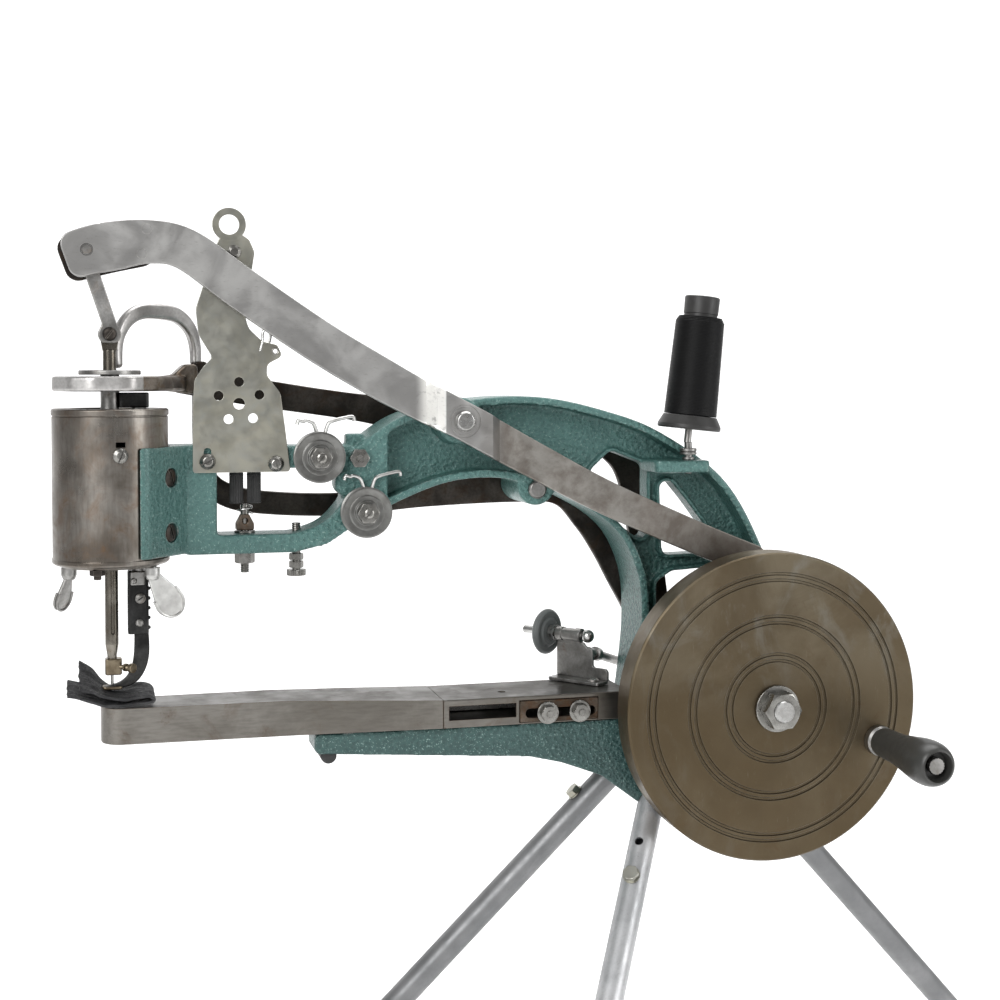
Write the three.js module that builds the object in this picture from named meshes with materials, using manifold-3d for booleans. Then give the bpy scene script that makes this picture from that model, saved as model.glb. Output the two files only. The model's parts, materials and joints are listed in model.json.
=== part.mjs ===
// Hand-cranked leather sewing machine on a tripod, in millimetres, +Z up.
// While modelling, X = 0, Y = 0 is the needle axis, +X runs to the hand wheel, -Y is the front
// and Z = 0 is the floor. The finished group is moved so that its box stands on the origin.
import * as THREE from "three";
import { mergeVertices } from "three/addons/utils/BufferGeometryUtils.js";
import Module from "manifold-3d";

const wasm = await Module();
wasm.setup();

// ---- driving dimensions -------------------------------------------------------------------
const GAP = 0.3; // between touching pieces
const WHEEL = { x: 413.75, z: 365, r: 100, front: -56, back: -35 };
const HANDLE = { x: WHEEL.x + 73, z: WHEEL.z - 25, base: -60 };
const SHAFT = { r: 9, back: 62 };
const PIVOT = { x: 217, z: 550, r: 5 }; // needle lever and ring lever
const GOOSE = { x: 269, z: 505, r: 5 }; // gooseneck lever
const HEAD = { r: 35, z0: 465, z1: 559 };
const LINK = { x: -13, z: 654, eye: 604 };
const PRESSER = { x: 17, z: 452, pin: 443 };
const BED = { z0: 356, tip: -7, end: 326, step: 204 };
const SHUTTLE = { x: 15, z: 360.3, pinion: 8.5 };
const LEG = { r: 8.5, wall: 1.6, splay: 44, z: 300, socket: 30, foot: 14 };
const LEGS = {
  left: { x: 319.4, y: 22, azimuth: 172, bolt: 13 },
  front: { x: 342.7, y: -20, azimuth: 234.5, bolt: 58 },
  right: { x: 429.4, y: 26, azimuth: 14, bolt: 34 },
};
const SPOOL = { x: 371.5, y: -10, z: 540, tilt: 6.2 };
const CAST = { front: -4, back: 40 };
const LEVER = { front: -14, back: -8 }; // planes of the needle lever
const REAR = { goose: [43, 49], ring: [51, 57] }; // planes of the two rear levers
const CLAMP_SCREWS = { x: 35.8, y: -14.6, turn: 141, heights: [517, 483.5] };
const PLATE_SCREWS = [[58, 526], [100, 524]];
const TENSION = { upper: [126.5, 528], lower: [156, 493] };
const LOCK_NUT = [152, 527];
const PADS = { y: 12, left: 77, right: 88 };
const ADJUST_BOLT = 114.5;
const WINDER = { x: 289, y: 40, z: 404.5, turn: -52, r: 2.6 };

// ---- shapes -------------------------------------------------------------------------------
const rad = (deg) => (deg * Math.PI) / 180;

// A closed three.js geometry as a solid that can be joined and cut.
function solidOf(geometry) {
  const bare = new THREE.BufferGeometry();
  bare.setAttribute("position", geometry.getAttribute("position"));
  bare.setIndex(geometry.index);
  const merged = mergeVertices(bare, 1e-4);
  const triVerts = [];
  for (let i = 0; i < merged.index.count; i += 3) {
    const [a, b, c] = [0, 1, 2].map((k) => merged.index.getX(i + k));
    if (a !== b && b !== c && c !== a) triVerts.push(a, b, c);
  }
  const vertProperties = merged.attributes.position.array;
  return new wasm.Manifold(
    new wasm.Mesh({ numProp: 3, vertProperties, triVerts: new Uint32Array(triVerts) }),
  );
}

const join = (...solids) => solids.reduce((all, one) => all.add(one));

const circle = (x, z, r, n = 12) =>
  Array.from({ length: n }, (_, i) => {
    const a = (2 * Math.PI * (i + 0.5)) / n;
    return [x + r * Math.cos(a), z + r * Math.sin(a)];
  });

const rect = (x0, z0, x1, z1) => [
  [x0, z0],
  [x1, z0],
  [x1, z1],
  [x0, z1],
];

const area = (points) =>
  THREE.ShapeUtils.area(points.map((p) => new THREE.Vector2(...p)));

const leftTurning = (points) => (area(points) > 0 ? points : [...points].reverse());

// Rounds the corners of an outline to radius r, or to what its edges leave room for.
function rounded(points, r, steps = 3) {
  const n = points.length;
  const at = (i) => new THREE.Vector2(...points[(i + n) % n]);
  return points.flatMap((point, i) => {
    const here = at(i);
    const back = at(i - 1).sub(here);
    const on = at(i + 1).sub(here);
    const cosine = back.dot(on) / back.length() / on.length();
    const half = Math.acos(THREE.MathUtils.clamp(cosine, -1, 1)) / 2;
    const t = Math.min(r / Math.tan(half), 0.45 * back.length(), 0.45 * on.length());
    if (t < 0.15) return [point];
    const from = here.clone().addScaledVector(back.normalize(), t);
    const to = here.clone().addScaledVector(on.normalize(), t);
    return new THREE.QuadraticBezierCurve(from, here, to).getPoints(steps).map((p) => [p.x, p.y]);
  });
}

// Moves every edge of an outline inwards by d, or outwards if d is negative.
function inset(points, d) {
  const n = points.length;
  const side = Math.sign(area(points));
  const normal = (i) => {
    const [a, b] = [points[(i + n) % n], points[(i + 1) % n]];
    const length = Math.hypot(b[0] - a[0], b[1] - a[1]);
    return [(-side * (b[1] - a[1])) / length, (side * (b[0] - a[0])) / length];
  };
  return points.map(([x, z], i) => {
    const [p, q] = [normal(i - 1), normal(i)];
    const k = d / (1 + p[0] * q[0] + p[1] * q[1]);
    return [x + k * (p[0] + q[0]), z + k * (p[1] + q[1])];
  });
}

// A smooth line through points.
function smooth(points, count) {
  const curve = new THREE.SplineCurve(points.map((p) => new THREE.Vector2(...p)));
  return curve.getPoints(count).map((p) => [p.x, p.y]);
}

// The outline of a flat bar that follows stations [x, z, width].
function band(stations, count = 16) {
  const line = new THREE.CatmullRomCurve3(stations.map((s) => new THREE.Vector3(...s)));
  const edges = [[], []];
  for (let i = 0; i <= count; i++) {
    const p = line.getPoint(i / count);
    const t = line.getTangent(i / count);
    [1, -1].forEach((side, e) => {
      const k = (side * p.z) / 2 / Math.hypot(t.x, t.y);
      const next = [p.x - t.y * k, p.y + t.x * k];
      const last = edges[e].at(-1) ?? [next[0] - t.x, next[1] - t.y];
      const forward = (next[0] - last[0]) * t.x + (next[1] - last[1]) * t.y;
      if (forward > 0.1) edges[e].push(next);
    });
  }
  return [...edges[0], ...edges[1].reverse()];
}

function extrusion(outline, depth, holes) {
  const shape = new THREE.Shape(leftTurning(outline).map((p) => new THREE.Vector2(...p)));
  shape.holes = holes.map((hole) => new THREE.Path(hole.map((p) => new THREE.Vector2(...p))));
  return new THREE.ExtrudeGeometry(shape, { depth, bevelEnabled: false });
}

// A plate: an outline in the XZ plane between two Y planes. A slab: one in the XY plane.
const plate = (outline, y0, y1, holes = []) =>
  solidOf(extrusion(outline, y1 - y0, holes).rotateX(Math.PI / 2).translate(0, y1, 0));

const slab = (outline, z0, z1, holes = []) =>
  solidOf(extrusion(outline, z1 - z0, holes).translate(0, 0, z0));

const plates = (outlines, y0, y1) => join(...outlines.map((outline) => plate(outline, y0, y1)));

const box = (x0, y0, z0, x1, y1, z1) =>
  solidOf(
    new THREE.BoxGeometry(x1 - x0, y1 - y0, z1 - z0)
      .translate((x0 + x1) / 2, (y0 + y1) / 2, (z0 + z1) / 2),
  );

// Round bars along each axis, and hexagons by their width across flats.
const bar = (r, length, n) => new THREE.CylinderGeometry(r, r, length, n);
const pinX = (y, z, r, x0, x1, n = 12) =>
  solidOf(bar(r, x1 - x0, n).rotateZ(Math.PI / 2).translate((x0 + x1) / 2, y, z));
const pinY = (x, z, r, y0, y1, n = 12) =>
  solidOf(bar(r, y1 - y0, n).translate(x, (y0 + y1) / 2, z));
const pinZ = (x, y, r, z0, z1, n = 12) =>
  solidOf(bar(r, z1 - z0, n).rotateX(Math.PI / 2).translate(x, y, (z0 + z1) / 2));
const hexY = (x, z, flats, y0, y1) => pinY(x, z, flats / Math.sqrt(3), y0, y1, 6);
const hexZ = (x, y, flats, z0, z1) => pinZ(x, y, flats / Math.sqrt(3), z0, z1, 6);

// A closed profile of [radius, height] turned about the Y axis.
function lathe(profile, n) {
  const loop = leftTurning(profile);
  return new THREE.LatheGeometry([...loop, loop[0]].map((p) => new THREE.Vector2(...p)), n);
}

// Turned pieces: heights along +Z, along +X, or to the front along -Y, from a point.
const turned = (profile, [x, y, z] = [0, 0, 0], n = 16) =>
  solidOf(lathe(profile, n).rotateX(Math.PI / 2).translate(x, y, z));
const turnedX = (profile, [x, y, z], n = 16) =>
  solidOf(lathe(profile, n).rotateZ(-Math.PI / 2).translate(x, y, z));
const turnedY = (profile, [x, y, z], n = 20) =>
  solidOf(lathe(profile, n).rotateX(Math.PI).translate(x, y, z));

// A local frame: turned by degrees about X, then Y, then Z, and moved to a point.
function frameAt([x, y, z], [rx, ry, rz]) {
  const turn = new THREE.Euler(rad(rx), rad(ry), rad(rz), "ZYX");
  return new THREE.Matrix4().makeRotationFromEuler(turn).setPosition(x, y, z);
}

const into = (solid, frame) => solid.transform(frame.toArray());

// ---- the group ----------------------------------------------------------------------------
const MATERIALS = {
  green: [0x3f6f66, 0.3, 0.5],
  steel: [0x8a8a88, 0.9, 0.4],
  dark: [0x4a4540, 0.8, 0.5],
  zinc: [0xa8a48e, 0.9, 0.35],
  black: [0x1a1a1a, 0.0, 0.6],
  tube: [0xa0a0a0, 0.7, 0.4],
  thread: [0x101010, 0.0, 0.9],
};

const machine = new THREE.Group();

function subgroup(frame) {
  const group = new THREE.Group();
  group.applyMatrix4(frame);
  machine.add(group);
  return group;
}

function add(name, solid, finish, group = machine) {
  const mesh = solid.getMesh();
  const geometry = new THREE.BufferGeometry()
    .setAttribute("position", new THREE.BufferAttribute(mesh.vertProperties, 3))
    .setIndex(new THREE.BufferAttribute(mesh.triVerts, 1));
  geometry.computeVertexNormals();
  const [color, metalness, roughness] = MATERIALS[finish];
  const flatShading = true;
  const material = new THREE.MeshStandardMaterial({ color, metalness, roughness, flatShading });
  material.name = name + "_finish";
  const piece = new THREE.Mesh(geometry, material);
  piece.name = name;
  group.add(piece);
}

// ---- frame casting ------------------------------------------------------------------------
function armOutline() {
  const outer = smooth(
    [[146, 530], [180, 553], [222, 563], [270, 565], [315, 556], [355, 541], [400, 509],
     [428, 462], [445, 410], [452, 360], [448, 300]],
    16,
  );
  const inner = smooth(
    [[146, 471], [174, 495], [212, 511], [250, 512], [288, 500], [323, 478], [340, 448],
     [345, 415], [345, 380], [338, 340], [336, 300]],
    14,
  );
  return [...outer, ...inner.reverse()];
}

const ARM_WINDOWS = [
  [[309, 515], [324, 529], [350, 519], [350, 465], [327, 482]],
  [[359, 507], [367, 508], [378, 495], [391, 478], [401, 459], [361, 458]],
  [[357, 440], [368, 447], [402, 449], [424, 430], [430, 400], [357, 400]],
].map((window) => rounded(window, 5, 2));

// An I-section arm: two flanges round a web, with a raised rim about each window.
function arm() {
  const outline = armOutline();
  const flanges = plate(outline, CAST.front, CAST.back, [inset(outline, 6)]);
  const solidEnd = plate(outline, CAST.front, 26).intersect(box(140, -60, 460, 172, 60, 560));
  const inside = plate(outline, 0, CAST.back);
  const rims = ARM_WINDOWS.map((w) => plate(inset(w, -3), 10, 26, [w]).intersect(inside));
  return join(flanges, plate(outline, 14, 21, ARM_WINDOWS), solidEnd, ...rims);
}

// The lug that wraps the head cylinder, and the window frame that carries it.
function headClamp() {
  const lug = [[18, -29], [26, -26], [46, -2], [64, -2], [64, 26], [44, 28], [26, 29], [14, 32],
    [10, 24], [10, -24]];
  const outer = [[44, 468], [112, 468], [124.5, 470], [134, 473.5], [143.5, 479], [150, 484],
    [150, 535], [44, 535]];
  const window = [[60, 480], [109, 480], [118, 481], [126.4, 484], [134, 488.6], [140.4, 494.8],
    [144, 501], [144, 521], [60, 521]];
  return join(slab(lug, 469, 536), plate(rounded(outer, 4), -2, 26, [rounded(window, 4)]))
    .subtract(pinZ(0, 0, HEAD.r + GAP, 400, 600, 36));
}

function cradle() {
  const side = [[122, 343], [260, 334], [281, 329], [308, 319], [333, 300], [345, 300],
    [345, 355.5], [122, 355.5]];
  const plan = [[122, -16], [260, -20], [335, -22], [450, -14], [450, 46], [335, 36], [260, 26],
    [122, 16]];
  return plate(side, -60, 60).intersect(slab(rounded(plan, 3), 280, 360));
}

function frameCasting() {
  const body = join(
    arm(),
    headClamp(),
    cradle(),
    pinY(PIVOT.x, PIVOT.z, 20, -7.6, 30, 16),
    pinY(PIVOT.x, PIVOT.z, 10, -13.7, 50.7),
    pinY(GOOSE.x, GOOSE.z, 14, -3.5, 42.7, 16),
    pinY(WHEEL.x, WHEEL.z, 24, -12, 41.7, 20),
    box(346, -20, 515, 384, 15, 523),
    box(336, -24, 300, 448, 46, 334),
  );
  const threaded = [...PLATE_SCREWS, ...Object.values(TENSION), LOCK_NUT];
  return body.subtract(
    join(
      pinY(PIVOT.x, PIVOT.z, PIVOT.r + GAP, -20, 60),
      pinY(GOOSE.x, GOOSE.z, GOOSE.r + GAP, -10, 60),
      pinY(WHEEL.x, WHEEL.z, SHAFT.r + GAP, -20, 60, 24),
      pinZ(SPOOL.x, SPOOL.y, 2.8 + GAP, 500, 530, 16),
      pinZ(PADS.left + 5, PADS.y, 2.8 + GAP, 460, 485, 12),
      pinZ(ADJUST_BOLT, PADS.y, 2.8 + GAP, 460, 485, 20),
      ...threaded.map(([x, z]) => pinY(x, z, 2.5 + GAP, -6, 8)),
      ...CLAMP_SCREWS.heights.map((z) => clampScrew(z, GAP)),
      ...Object.values(LEGS).map((leg) =>
        into(pinZ(0, 0, LEG.r + GAP, -LEG.socket - GAP, 90), legFrame(leg))),
    ),
  );
}

// The clamp screws stand square to the slanted face of the lug and bite into the cylinder wall.
function clampScrew(z, grow = 0) {
  const [head, shank] = [5.6 + grow, 2.6 + grow];
  const profile = [[0, 0], [head, 0], [head, 2], [shank, 2], [shank, 5.5 + grow], [0, 5.5 + grow]];
  const screw = turnedX(profile, [0, 0, 0]);
  const slot = box(-1, -6, -0.6, 1, 6, 0.6);
  const { x, y, turn } = CLAMP_SCREWS;
  return into(grow ? screw : screw.subtract(slot), frameAt([x, y, z], [0, 0, turn]));
}

// ---- tripod -------------------------------------------------------------------------------
// In a leg's own frame +Z runs down the tube from the foot of the casting.
const legFrame = ({ x, y, azimuth }) => frameAt([x, y, LEG.z], [0, 180 - LEG.splay, azimuth]);

// What lies between two heights above the floor, in a leg's own frame.
const between = (z0, z1) =>
  into(
    box(-1000, -1000, z0 - LEG.z, 1000, 1000, z1 - LEG.z),
    frameAt([0, 0, 0], [0, LEG.splay - 180, 0]),
  );

function legTube(leg) {
  return pinZ(0, 0, LEG.r, -LEG.socket, 500)
    .subtract(pinZ(0, 0, LEG.r - LEG.wall, -LEG.socket - 1, 501))
    .subtract(pinX(0, leg.bolt - 24, 2.8, -12, 0))
    .subtract(pinX(0, leg.bolt, 2.5 + GAP, -12, -2))
    .intersect(between(LEG.foot, 400));
}

// A hexagon bolt through the upper wall of the tube.
const legBolt = (leg) =>
  join(
    pinX(0, leg.bolt, 2.5, -LEG.r - 1, -2),
    pinX(0, leg.bolt, 9 / Math.sqrt(3), -LEG.r - 4.5, -LEG.r - GAP, 6),
  );

// A rubber tip: a closed cup round the tube, cut flat where it stands.
function legFoot() {
  const reach = (LEG.z - LEG.foot) / Math.cos(rad(LEG.splay));
  return pinZ(0, 0, LEG.r + 3, reach - 24, reach + 40)
    .intersect(between(0, 400))
    .subtract(pinZ(0, 0, LEG.r + GAP, 0, 600).intersect(between(LEG.foot - GAP, 500)));
}

// ---- head ---------------------------------------------------------------------------------
function headCylinder() {
  const { r, z0, z1 } = HEAD;
  const profile = [[r - 4, z0], [r - 1.2, z0], [r, z0 + 1.5], [r, z1 - 1.5], [r - 1, z1],
    [23.5, z1], [23.5, z1 - 4], [r - 4, z1 - 4]];
  return turned(profile, [0, 0, 0], 36).subtract(
    join(box(3, -40, 536, 7, -30, 541), ...CLAMP_SCREWS.heights.map((z) => clampScrew(z, GAP))),
  );
}

const WINGS = {
  left: { at: [-25, 0], size: 0.85, turned: [18, 0, 78] },
  right: { at: [24, -13], size: 1, turned: [0, -32, 20] },
};

function turret() {
  const profile = [[13, 463.5], [29.6, 463.5], [30.6, 464.5], [30.6, 474], [13, 474]];
  const holes = Object.values(WINGS).map(({ at }) => pinZ(...at, 2.5 + GAP, 440, 480, 12));
  return turned(profile, [0, 0, 0], 28).subtract(join(pinZ(PRESSER.x, 0, 5, 440, 480, 16), ...holes));
}

// A wing screw hanging from the turret, its blade turned by degrees.
function wingScrew({ at, size, turned }) {
  const outline = [[-4, -24], [3, -27], [9, -20], [5, -8], [5, 3], [-5, 3], [-5, -8], [-7, -18]]
    .map(([x, z]) => [x * size, z * size]);
  const blade = into(plate(rounded(outline, 3), -1.2, 1.2), frameAt([0, 0, -5.4], turned));
  return into(
    join(pinZ(0, 0, 2.5, -2, 10, 12), pinZ(0, 0, 5, -8, -0.5, 16), blade),
    frameAt([...at, 463.2], [0, 0, 0]),
  );
}

// Sleeve round the needle bar, its collar over the ring lever, and the presser bar beside it.
function presserSleeve() {
  const { x, pin } = PRESSER;
  const profile = [[4.5, 476], [12, 476], [12, 579.4], [18.5, 579.4], [18.5, 582.2], [4.5, 582.2]];
  const shape = join(
    turned(profile),
    box(8, -6, 559.6, 23, 6, 568.6),
    box(8, -5, 500, 18, 5, 520),
    pinZ(x, 0, 4.5, 442, 568.6, 16),
    box(9.5, -5, 421, 22, 5, 460),
  );
  const slot = box(9, -2.9, 400, 23, 2.9, 449);
  return shape
    .subtract(join(pinZ(0, 0, 4.5, 470, 590), slot))
    .add(pinY(x, pin, 1.5, -6, 6))
    .add(pinY(x, pin, 3.2, -6.5, -4.8));
}

function presserFoot() {
  const { x, pin } = PRESSER;
  const stations = [[17, 446, 6], [18.5, 420, 7], [18.7, 408, 7], [16.5, 399.5, 7], [12, 393, 6.5],
    [6, 390, 4]];
  const shank = [band(stations, 12), circle(x, pin, 5, 16)];
  return plates(shank, -2.5, 2.5)
    .add(box(-7, -6, 388, 12, 6, 391))
    .subtract(join(box(-5, -1.6, 380, 5, 1.6, 400), pinY(x, pin, 1.8, -6, 6)));
}

function needleBar() {
  return join(
    pinZ(0, 0, 4, 408, 595, 20),
    turned([[0, 397], [2.6, 397], [4, 408], [0, 408]], [0, 0, 0], 20),
    plates([circle(0, LINK.eye, 6.5, 20), rect(-4, 593, 4, 604)], -2.5, 3.6),
    box(-4.2, -4.5, 396.4, 5.8, 4.5, 406.4),
    pinY(0, LINK.eye, 2.6, -9.5, -2, 16),
    pinY(0, LINK.eye, 3.8, -10.2, -8.3, 16),
    turnedX([[0, 0], [2, 0], [2, 3.8], [0, 3.8]], [5, 0, 401.4], 12),
  ).subtract(pinZ(0, 0, 1.1, 380, 402));
}

const needle = () =>
  turned([[0, 368], [0.25, 368], [0.85, 374], [0.85, 401.5], [0, 401.5]], [0, 0, 0], 10);

// ---- levers -------------------------------------------------------------------------------
const LEVER_LINE = [
  [-24.5, 649.3, 26], [-12, 653.2, 28.5], [2, 656.5, 29], [24, 659.5, 26], [46, 655, 25], [80, 631, 26],
  [126, 600, 26], [164, 577.5, 26], [188, 564.5, 25], [217, 550, 24], [234, 541, 24],
  [263, 525.5, 23], [308, 502, 22], [350, 483, 21.5], [390, 466, 21], [424, 453, 20],
];
const CHEEK_LINE = [[-25, 648, 27], [-12, 652.5, 30], [2, 655.5, 29], [26, 659, 26]];

function needleLever() {
  const { front, back } = LEVER;
  const line = rounded(band(LEVER_LINE, 26), 6);
  const plateau = plate(line, -20, back).intersect(box(199, -60, 400, 236, 60, 700));
  return join(
    plate(line, front, back),
    plateau,
    plate(rounded(band(CHEEK_LINE, 12), 5), -2.2, 3),
    pinY(22, 667, 3, front - 0.6, 0),
    pinY(19, 652, 3, front - 0.6, 0),
    pinY(LINK.x, LINK.z, 3.6, front - 0.6, 2, 16),
    pinY(WHEEL.x + 2, WHEEL.z + 90, 4.5, WHEEL.back + 0.5, -10, 16),
  ).subtract(
    join(box(205, front, 400, 229, 0, 700), pinY(PIVOT.x, PIVOT.z, PIVOT.r + GAP, -30, 0)),
  );
}

function needleLink() {
  const { x, z, eye } = LINK;
  const sides = [[x - 4.5, z], [x + 4.5, z], [4.4, eye], [-4.4, eye]];
  return plates([sides, circle(x, z, 8, 20), circle(0, eye, 7.6, 24)], -7.6, -3).subtract(
    join(pinY(x, z, 3.6 + GAP, -9, 0, 16), pinY(0, eye, 3.5, -9, 0, 16)),
  );
}

const RING_LINE = [
  [42, 576, 16], [92, 568, 18], [159, 558, 18], [217, 550, 26], [272, 549, 22], [318, 542, 22],
  [345, 526, 22], [357, 503, 22], [364, 465, 22], [370, 432, 20], [376, 402, 16], [378, 388, 12],
];

function ringLever() {
  const [y0, y1] = REAR.ring;
  const neck = [[20, -26], [32, -8], [46.5, 16], [46.5, 40], [35, 40], [10, 33]];
  return join(
    slab(circle(0, 0, HEAD.r, 28), 569.5, 578.5),
    slab(neck, 569.5, 578.5),
    box(35, 22, 567, 46.5, y1, 584),
    plate(band(RING_LINE, 24), y0, y1),
  ).subtract(join(pinZ(0, 0, 13.6, 560, 590, 20), pinY(PIVOT.x, PIVOT.z, PIVOT.r + GAP, 40, 70)));
}

const GOOSE_LINE = [
  [57.5, 596, 10], [57.5, 565, 10], [57.5, 535, 10], [60, 516, 12], [71, 503, 15], [95, 496.5, 15],
  [148, 494, 15], [204, 499, 16], [GOOSE.x, GOOSE.z, 24], [300, 499, 18], [318, 481, 18],
  [331, 462, 18], [343, 440, 18], [354, 420, 18], [364, 398, 17], [374, 376, 14],
];
const LOOP_LINE = [
  [-3, 583.5, 6], [-2.5, 600, 7], [4, 612, 8.5], [15, 618.3, 9.5], [30, 619, 9.6], [45, 617, 9.6],
  [56, 609, 8.5], [60.5, 598, 7.5], [61, 586, 7],
];

// The rear arm, and the loop that bends forward from it over the collar.
function gooseneckLever() {
  const [y0, y1] = REAR.goose;
  const loop = into(plate(band(LOOP_LINE, 14), -3, 3), frameAt([7, 10.5, 0], [0, 0, 38.3]));
  return join(plate(band(GOOSE_LINE, 26), y0, y1), loop).subtract(
    pinY(GOOSE.x, GOOSE.z, GOOSE.r + GAP, 40, 70),
  );
}

const leverBolt = () =>
  join(
    pinY(PIVOT.x, PIVOT.z, PIVOT.r, -21, 66),
    pinY(PIVOT.x, PIVOT.z, 6.5, -24.5, -20.3),
    hexY(PIVOT.x, PIVOT.z, 15, 57.4, 64),
  );

const rearPin = () =>
  join(
    pinY(GOOSE.x, GOOSE.z, GOOSE.r, -7, 54),
    hexY(GOOSE.x, GOOSE.z, 15, -7.6, -4.3),
    pinY(GOOSE.x, GOOSE.z, 8, 49.4, 50.6),
  );

// ---- thread path --------------------------------------------------------------------------
const PLATE_EDGE = [
  [65, 662], [58, 640], [52, 624], [51, 612], [56, 598], [61, 590], [57, 585], [51, 578],
  [49.5, 564], [49, 519], [109, 519], [106, 545], [102, 570], [95, 579], [95, 585], [104, 591],
  [101, 597.5], [92, 600], [84, 610], [81, 620], [84, 634], [88, 655], [83, 664],
];
const PLATE_HOLES = [
  [77.5, 575, 3], [65, 566.5, 3], [90, 567, 3], [77.5, 561.5, 3.6], [71, 552, 3],
  [86, 552.5, 3], [100, 594, 1.4], [100, 524, 2.4], [58, 526, 2.4], [58, 532, 2.4],
  [72, 671.7, 6.2],
];

function threadPlate() {
  const eyes = [circle(75, 655, 11.5, 20), circle(72, 671.7, 10.3, 20)];
  const holes = PLATE_HOLES.map(([x, z, r]) => pinY(x, z, r, -10, 0));
  const rivet = turnedY([[0, 0], [4.2, 0], [4.2, 0.8], [2.2, 2], [0, 2]], [75, -4.1, 655], 20);
  return plates([rounded(PLATE_EDGE, 3, 2), ...eyes], -4.2, -2.3)
    .subtract(join(box(55.6, -10, 526, 60.4, 0, 532), ...holes))
    .add(rivet);
}

function plateScrew([x, z]) {
  const head = [[0, 0], [4.6, 0], [4.2, 1.8], [2.5, 3], [0, 3.2]];
  return join(pinY(x, z, 2, -5, 6), turnedY(head, [x, -4.5, z], 20));
}

// A threaded rod with a nut and a washer below, and a fork for the pads' pin above.
function tensionRod() {
  const x = (PADS.left + PADS.right) / 2 - 0.5;
  const y = PADS.y;
  const fork = box(x - 5.5, y - 4, 481.6, x + 6, y + 4, 492).subtract(pinY(x, 488, 1.8, 0, 20));
  return join(
    pinZ(x, y, 2.8, 455, 498, 12),
    fork,
    pinZ(x, y, 6.5, 480.3, 482, 20),
    hexZ(x, y, 11, 461, 467.6),
  );
}

const pad = (x) =>
  join(
    pinZ(x, PADS.y, 4, 498.5, 514, 20),
    pinZ(x, PADS.y, 1.6, 513, 517),
    box(x - 4, PADS.y - 2, 516, x + 4, PADS.y + 2, 517.5),
  );

function adjustBolt() {
  const profile = [[0, 452], [6, 452], [6, 456], [4.4, 456.5], [4.4, 466.5], [2.8, 466.5],
    [2.8, 489], [2, 490], [0, 490]];
  return turned(profile, [ADJUST_BOLT, PADS.y, 0], 20);
}

function lockNut() {
  const [x, z] = LOCK_NUT;
  return join(hexY(x, z, 11, -10, -4.3), pinY(x, z, 2.4, -11.5, 6));
}

// Two dished discs on one hub, turning on their screw.
function tensionDisc([x, z]) {
  const profile = [[3.4, 0], [9, 0.4], [15.5, -0.6], [16, 0.2], [10, 3], [10, 4.6], [16, 7],
    [15.5, 7.8], [10, 6.6], [7.4, 7], [7.4, 9], [3.4, 9]];
  return turnedY(profile, [x, -5.2, z], 16);
}

function tensionScrew([x, z]) {
  return join(
    pinY(x, z, 2.5, -15, 6),
    pinY(x, z, 3, -15, -4.4, 16),
    hexY(x, z, 10.5, -19, -14.6),
    pinY(x, z, 3.2, -21, -18.9, 16),
  ).subtract(box(x - 4, -22, z - 0.5, x + 4, -19.8, z + 0.5));
}

// The spool stands on a spindle that leans by SPOOL.tilt; its pieces are in the leaning frame.
const spoolFrame = frameAt([SPOOL.x, SPOOL.y, SPOOL.z], [0, SPOOL.tilt, 0]);

function spoolSpindle() {
  const upright = into(
    join(pinZ(0, 0, 2.8, -29, -4, 12), pinZ(0, 0, 5.5, -16.7, -14, 16)),
    frameAt([0, 0, 0], [0, -SPOOL.tilt, 0]),
  );
  return join(
    pinZ(0, 0, 2.6, -6, 86, 12),
    hexZ(0, 0, 9, -5.5, 0.5),
    pinZ(0, 0, 5, 0.4, 3.4, 20),
    upright,
  );
}

function spoolCore() {
  const profile = [[3, 4], [21, 4], [21, 7], [19.5, 11], [15, 14], [11, 14], [10, 80],
    [12, 80.5], [12, 91], [9.5, 91.5], [9.5, 87], [3, 87]];
  return turned(profile, [0, 0, 0], 18);
}

function spoolThread() {
  const profile = [[11.6, 15.3], [17.4, 15.3], [17.8, 18], [16.6, 76], [14, 79.3], [10.6, 79.3]];
  return turned(profile, [0, 0, 0], 18);
}

// ---- bed ----------------------------------------------------------------------------------
const BED_PLAN = [[BED.tip, -16.5], [110, -18], [205, -23], [BED.end, -23], [BED.end, 27],
  [205, 27], [110, 20], [BED.tip, 18]];

const bedPlan = (d) => rounded(inset(BED_PLAN, d), 8 - d);

// The arm: a floor under the cover, then a closed box with two windows at the front.
function bedArm() {
  const floor = slab(bedPlan(3.4), BED.z0, 359.5).intersect(box(-20, -60, 350, BED.step, 60, 400));
  const rear = slab(bedPlan(0), BED.z0, 374).intersect(box(202.6, -60, 350, 340, 60, 400));
  const hollow = slab(bedPlan(3), 359.5, 370).intersect(box(200, -60, 350, 306, 60, 400));
  const windows = join(box(206, -40, 361, 250, -19, 370), box(252, -25, 357, 305, -19, 371.5));
  return join(floor, rear.subtract(hollow)).subtract(windows);
}

// The sheet cover over the front of the arm, which slopes up to the needle.
function bedCover() {
  const side = [[-20, 350], [202.2, 350], [202.2, 374], [100, 378], [-20, 378]];
  return slab(bedPlan(0), BED.z0, 380)
    .intersect(plate(side, -60, 60))
    .subtract(join(slab(bedPlan(3), 350, 371.3), pinZ(0, 0, 2.5, 360, 390, 16)));
}

const slidePlate = () =>
  plate(rect(252.4, 357.4, 304.6, 371), -24, -20.5, [rounded(rect(256, 360, 303, 366), 3)]);

const bedNut = (x) =>
  join(
    pinY(x, 363, 2.2, -29, -16),
    pinY(x, 363, 7.2, -26, -24.3, 24),
    hexY(x, 363, 9.5, -30.5, -25.9),
  );

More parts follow.
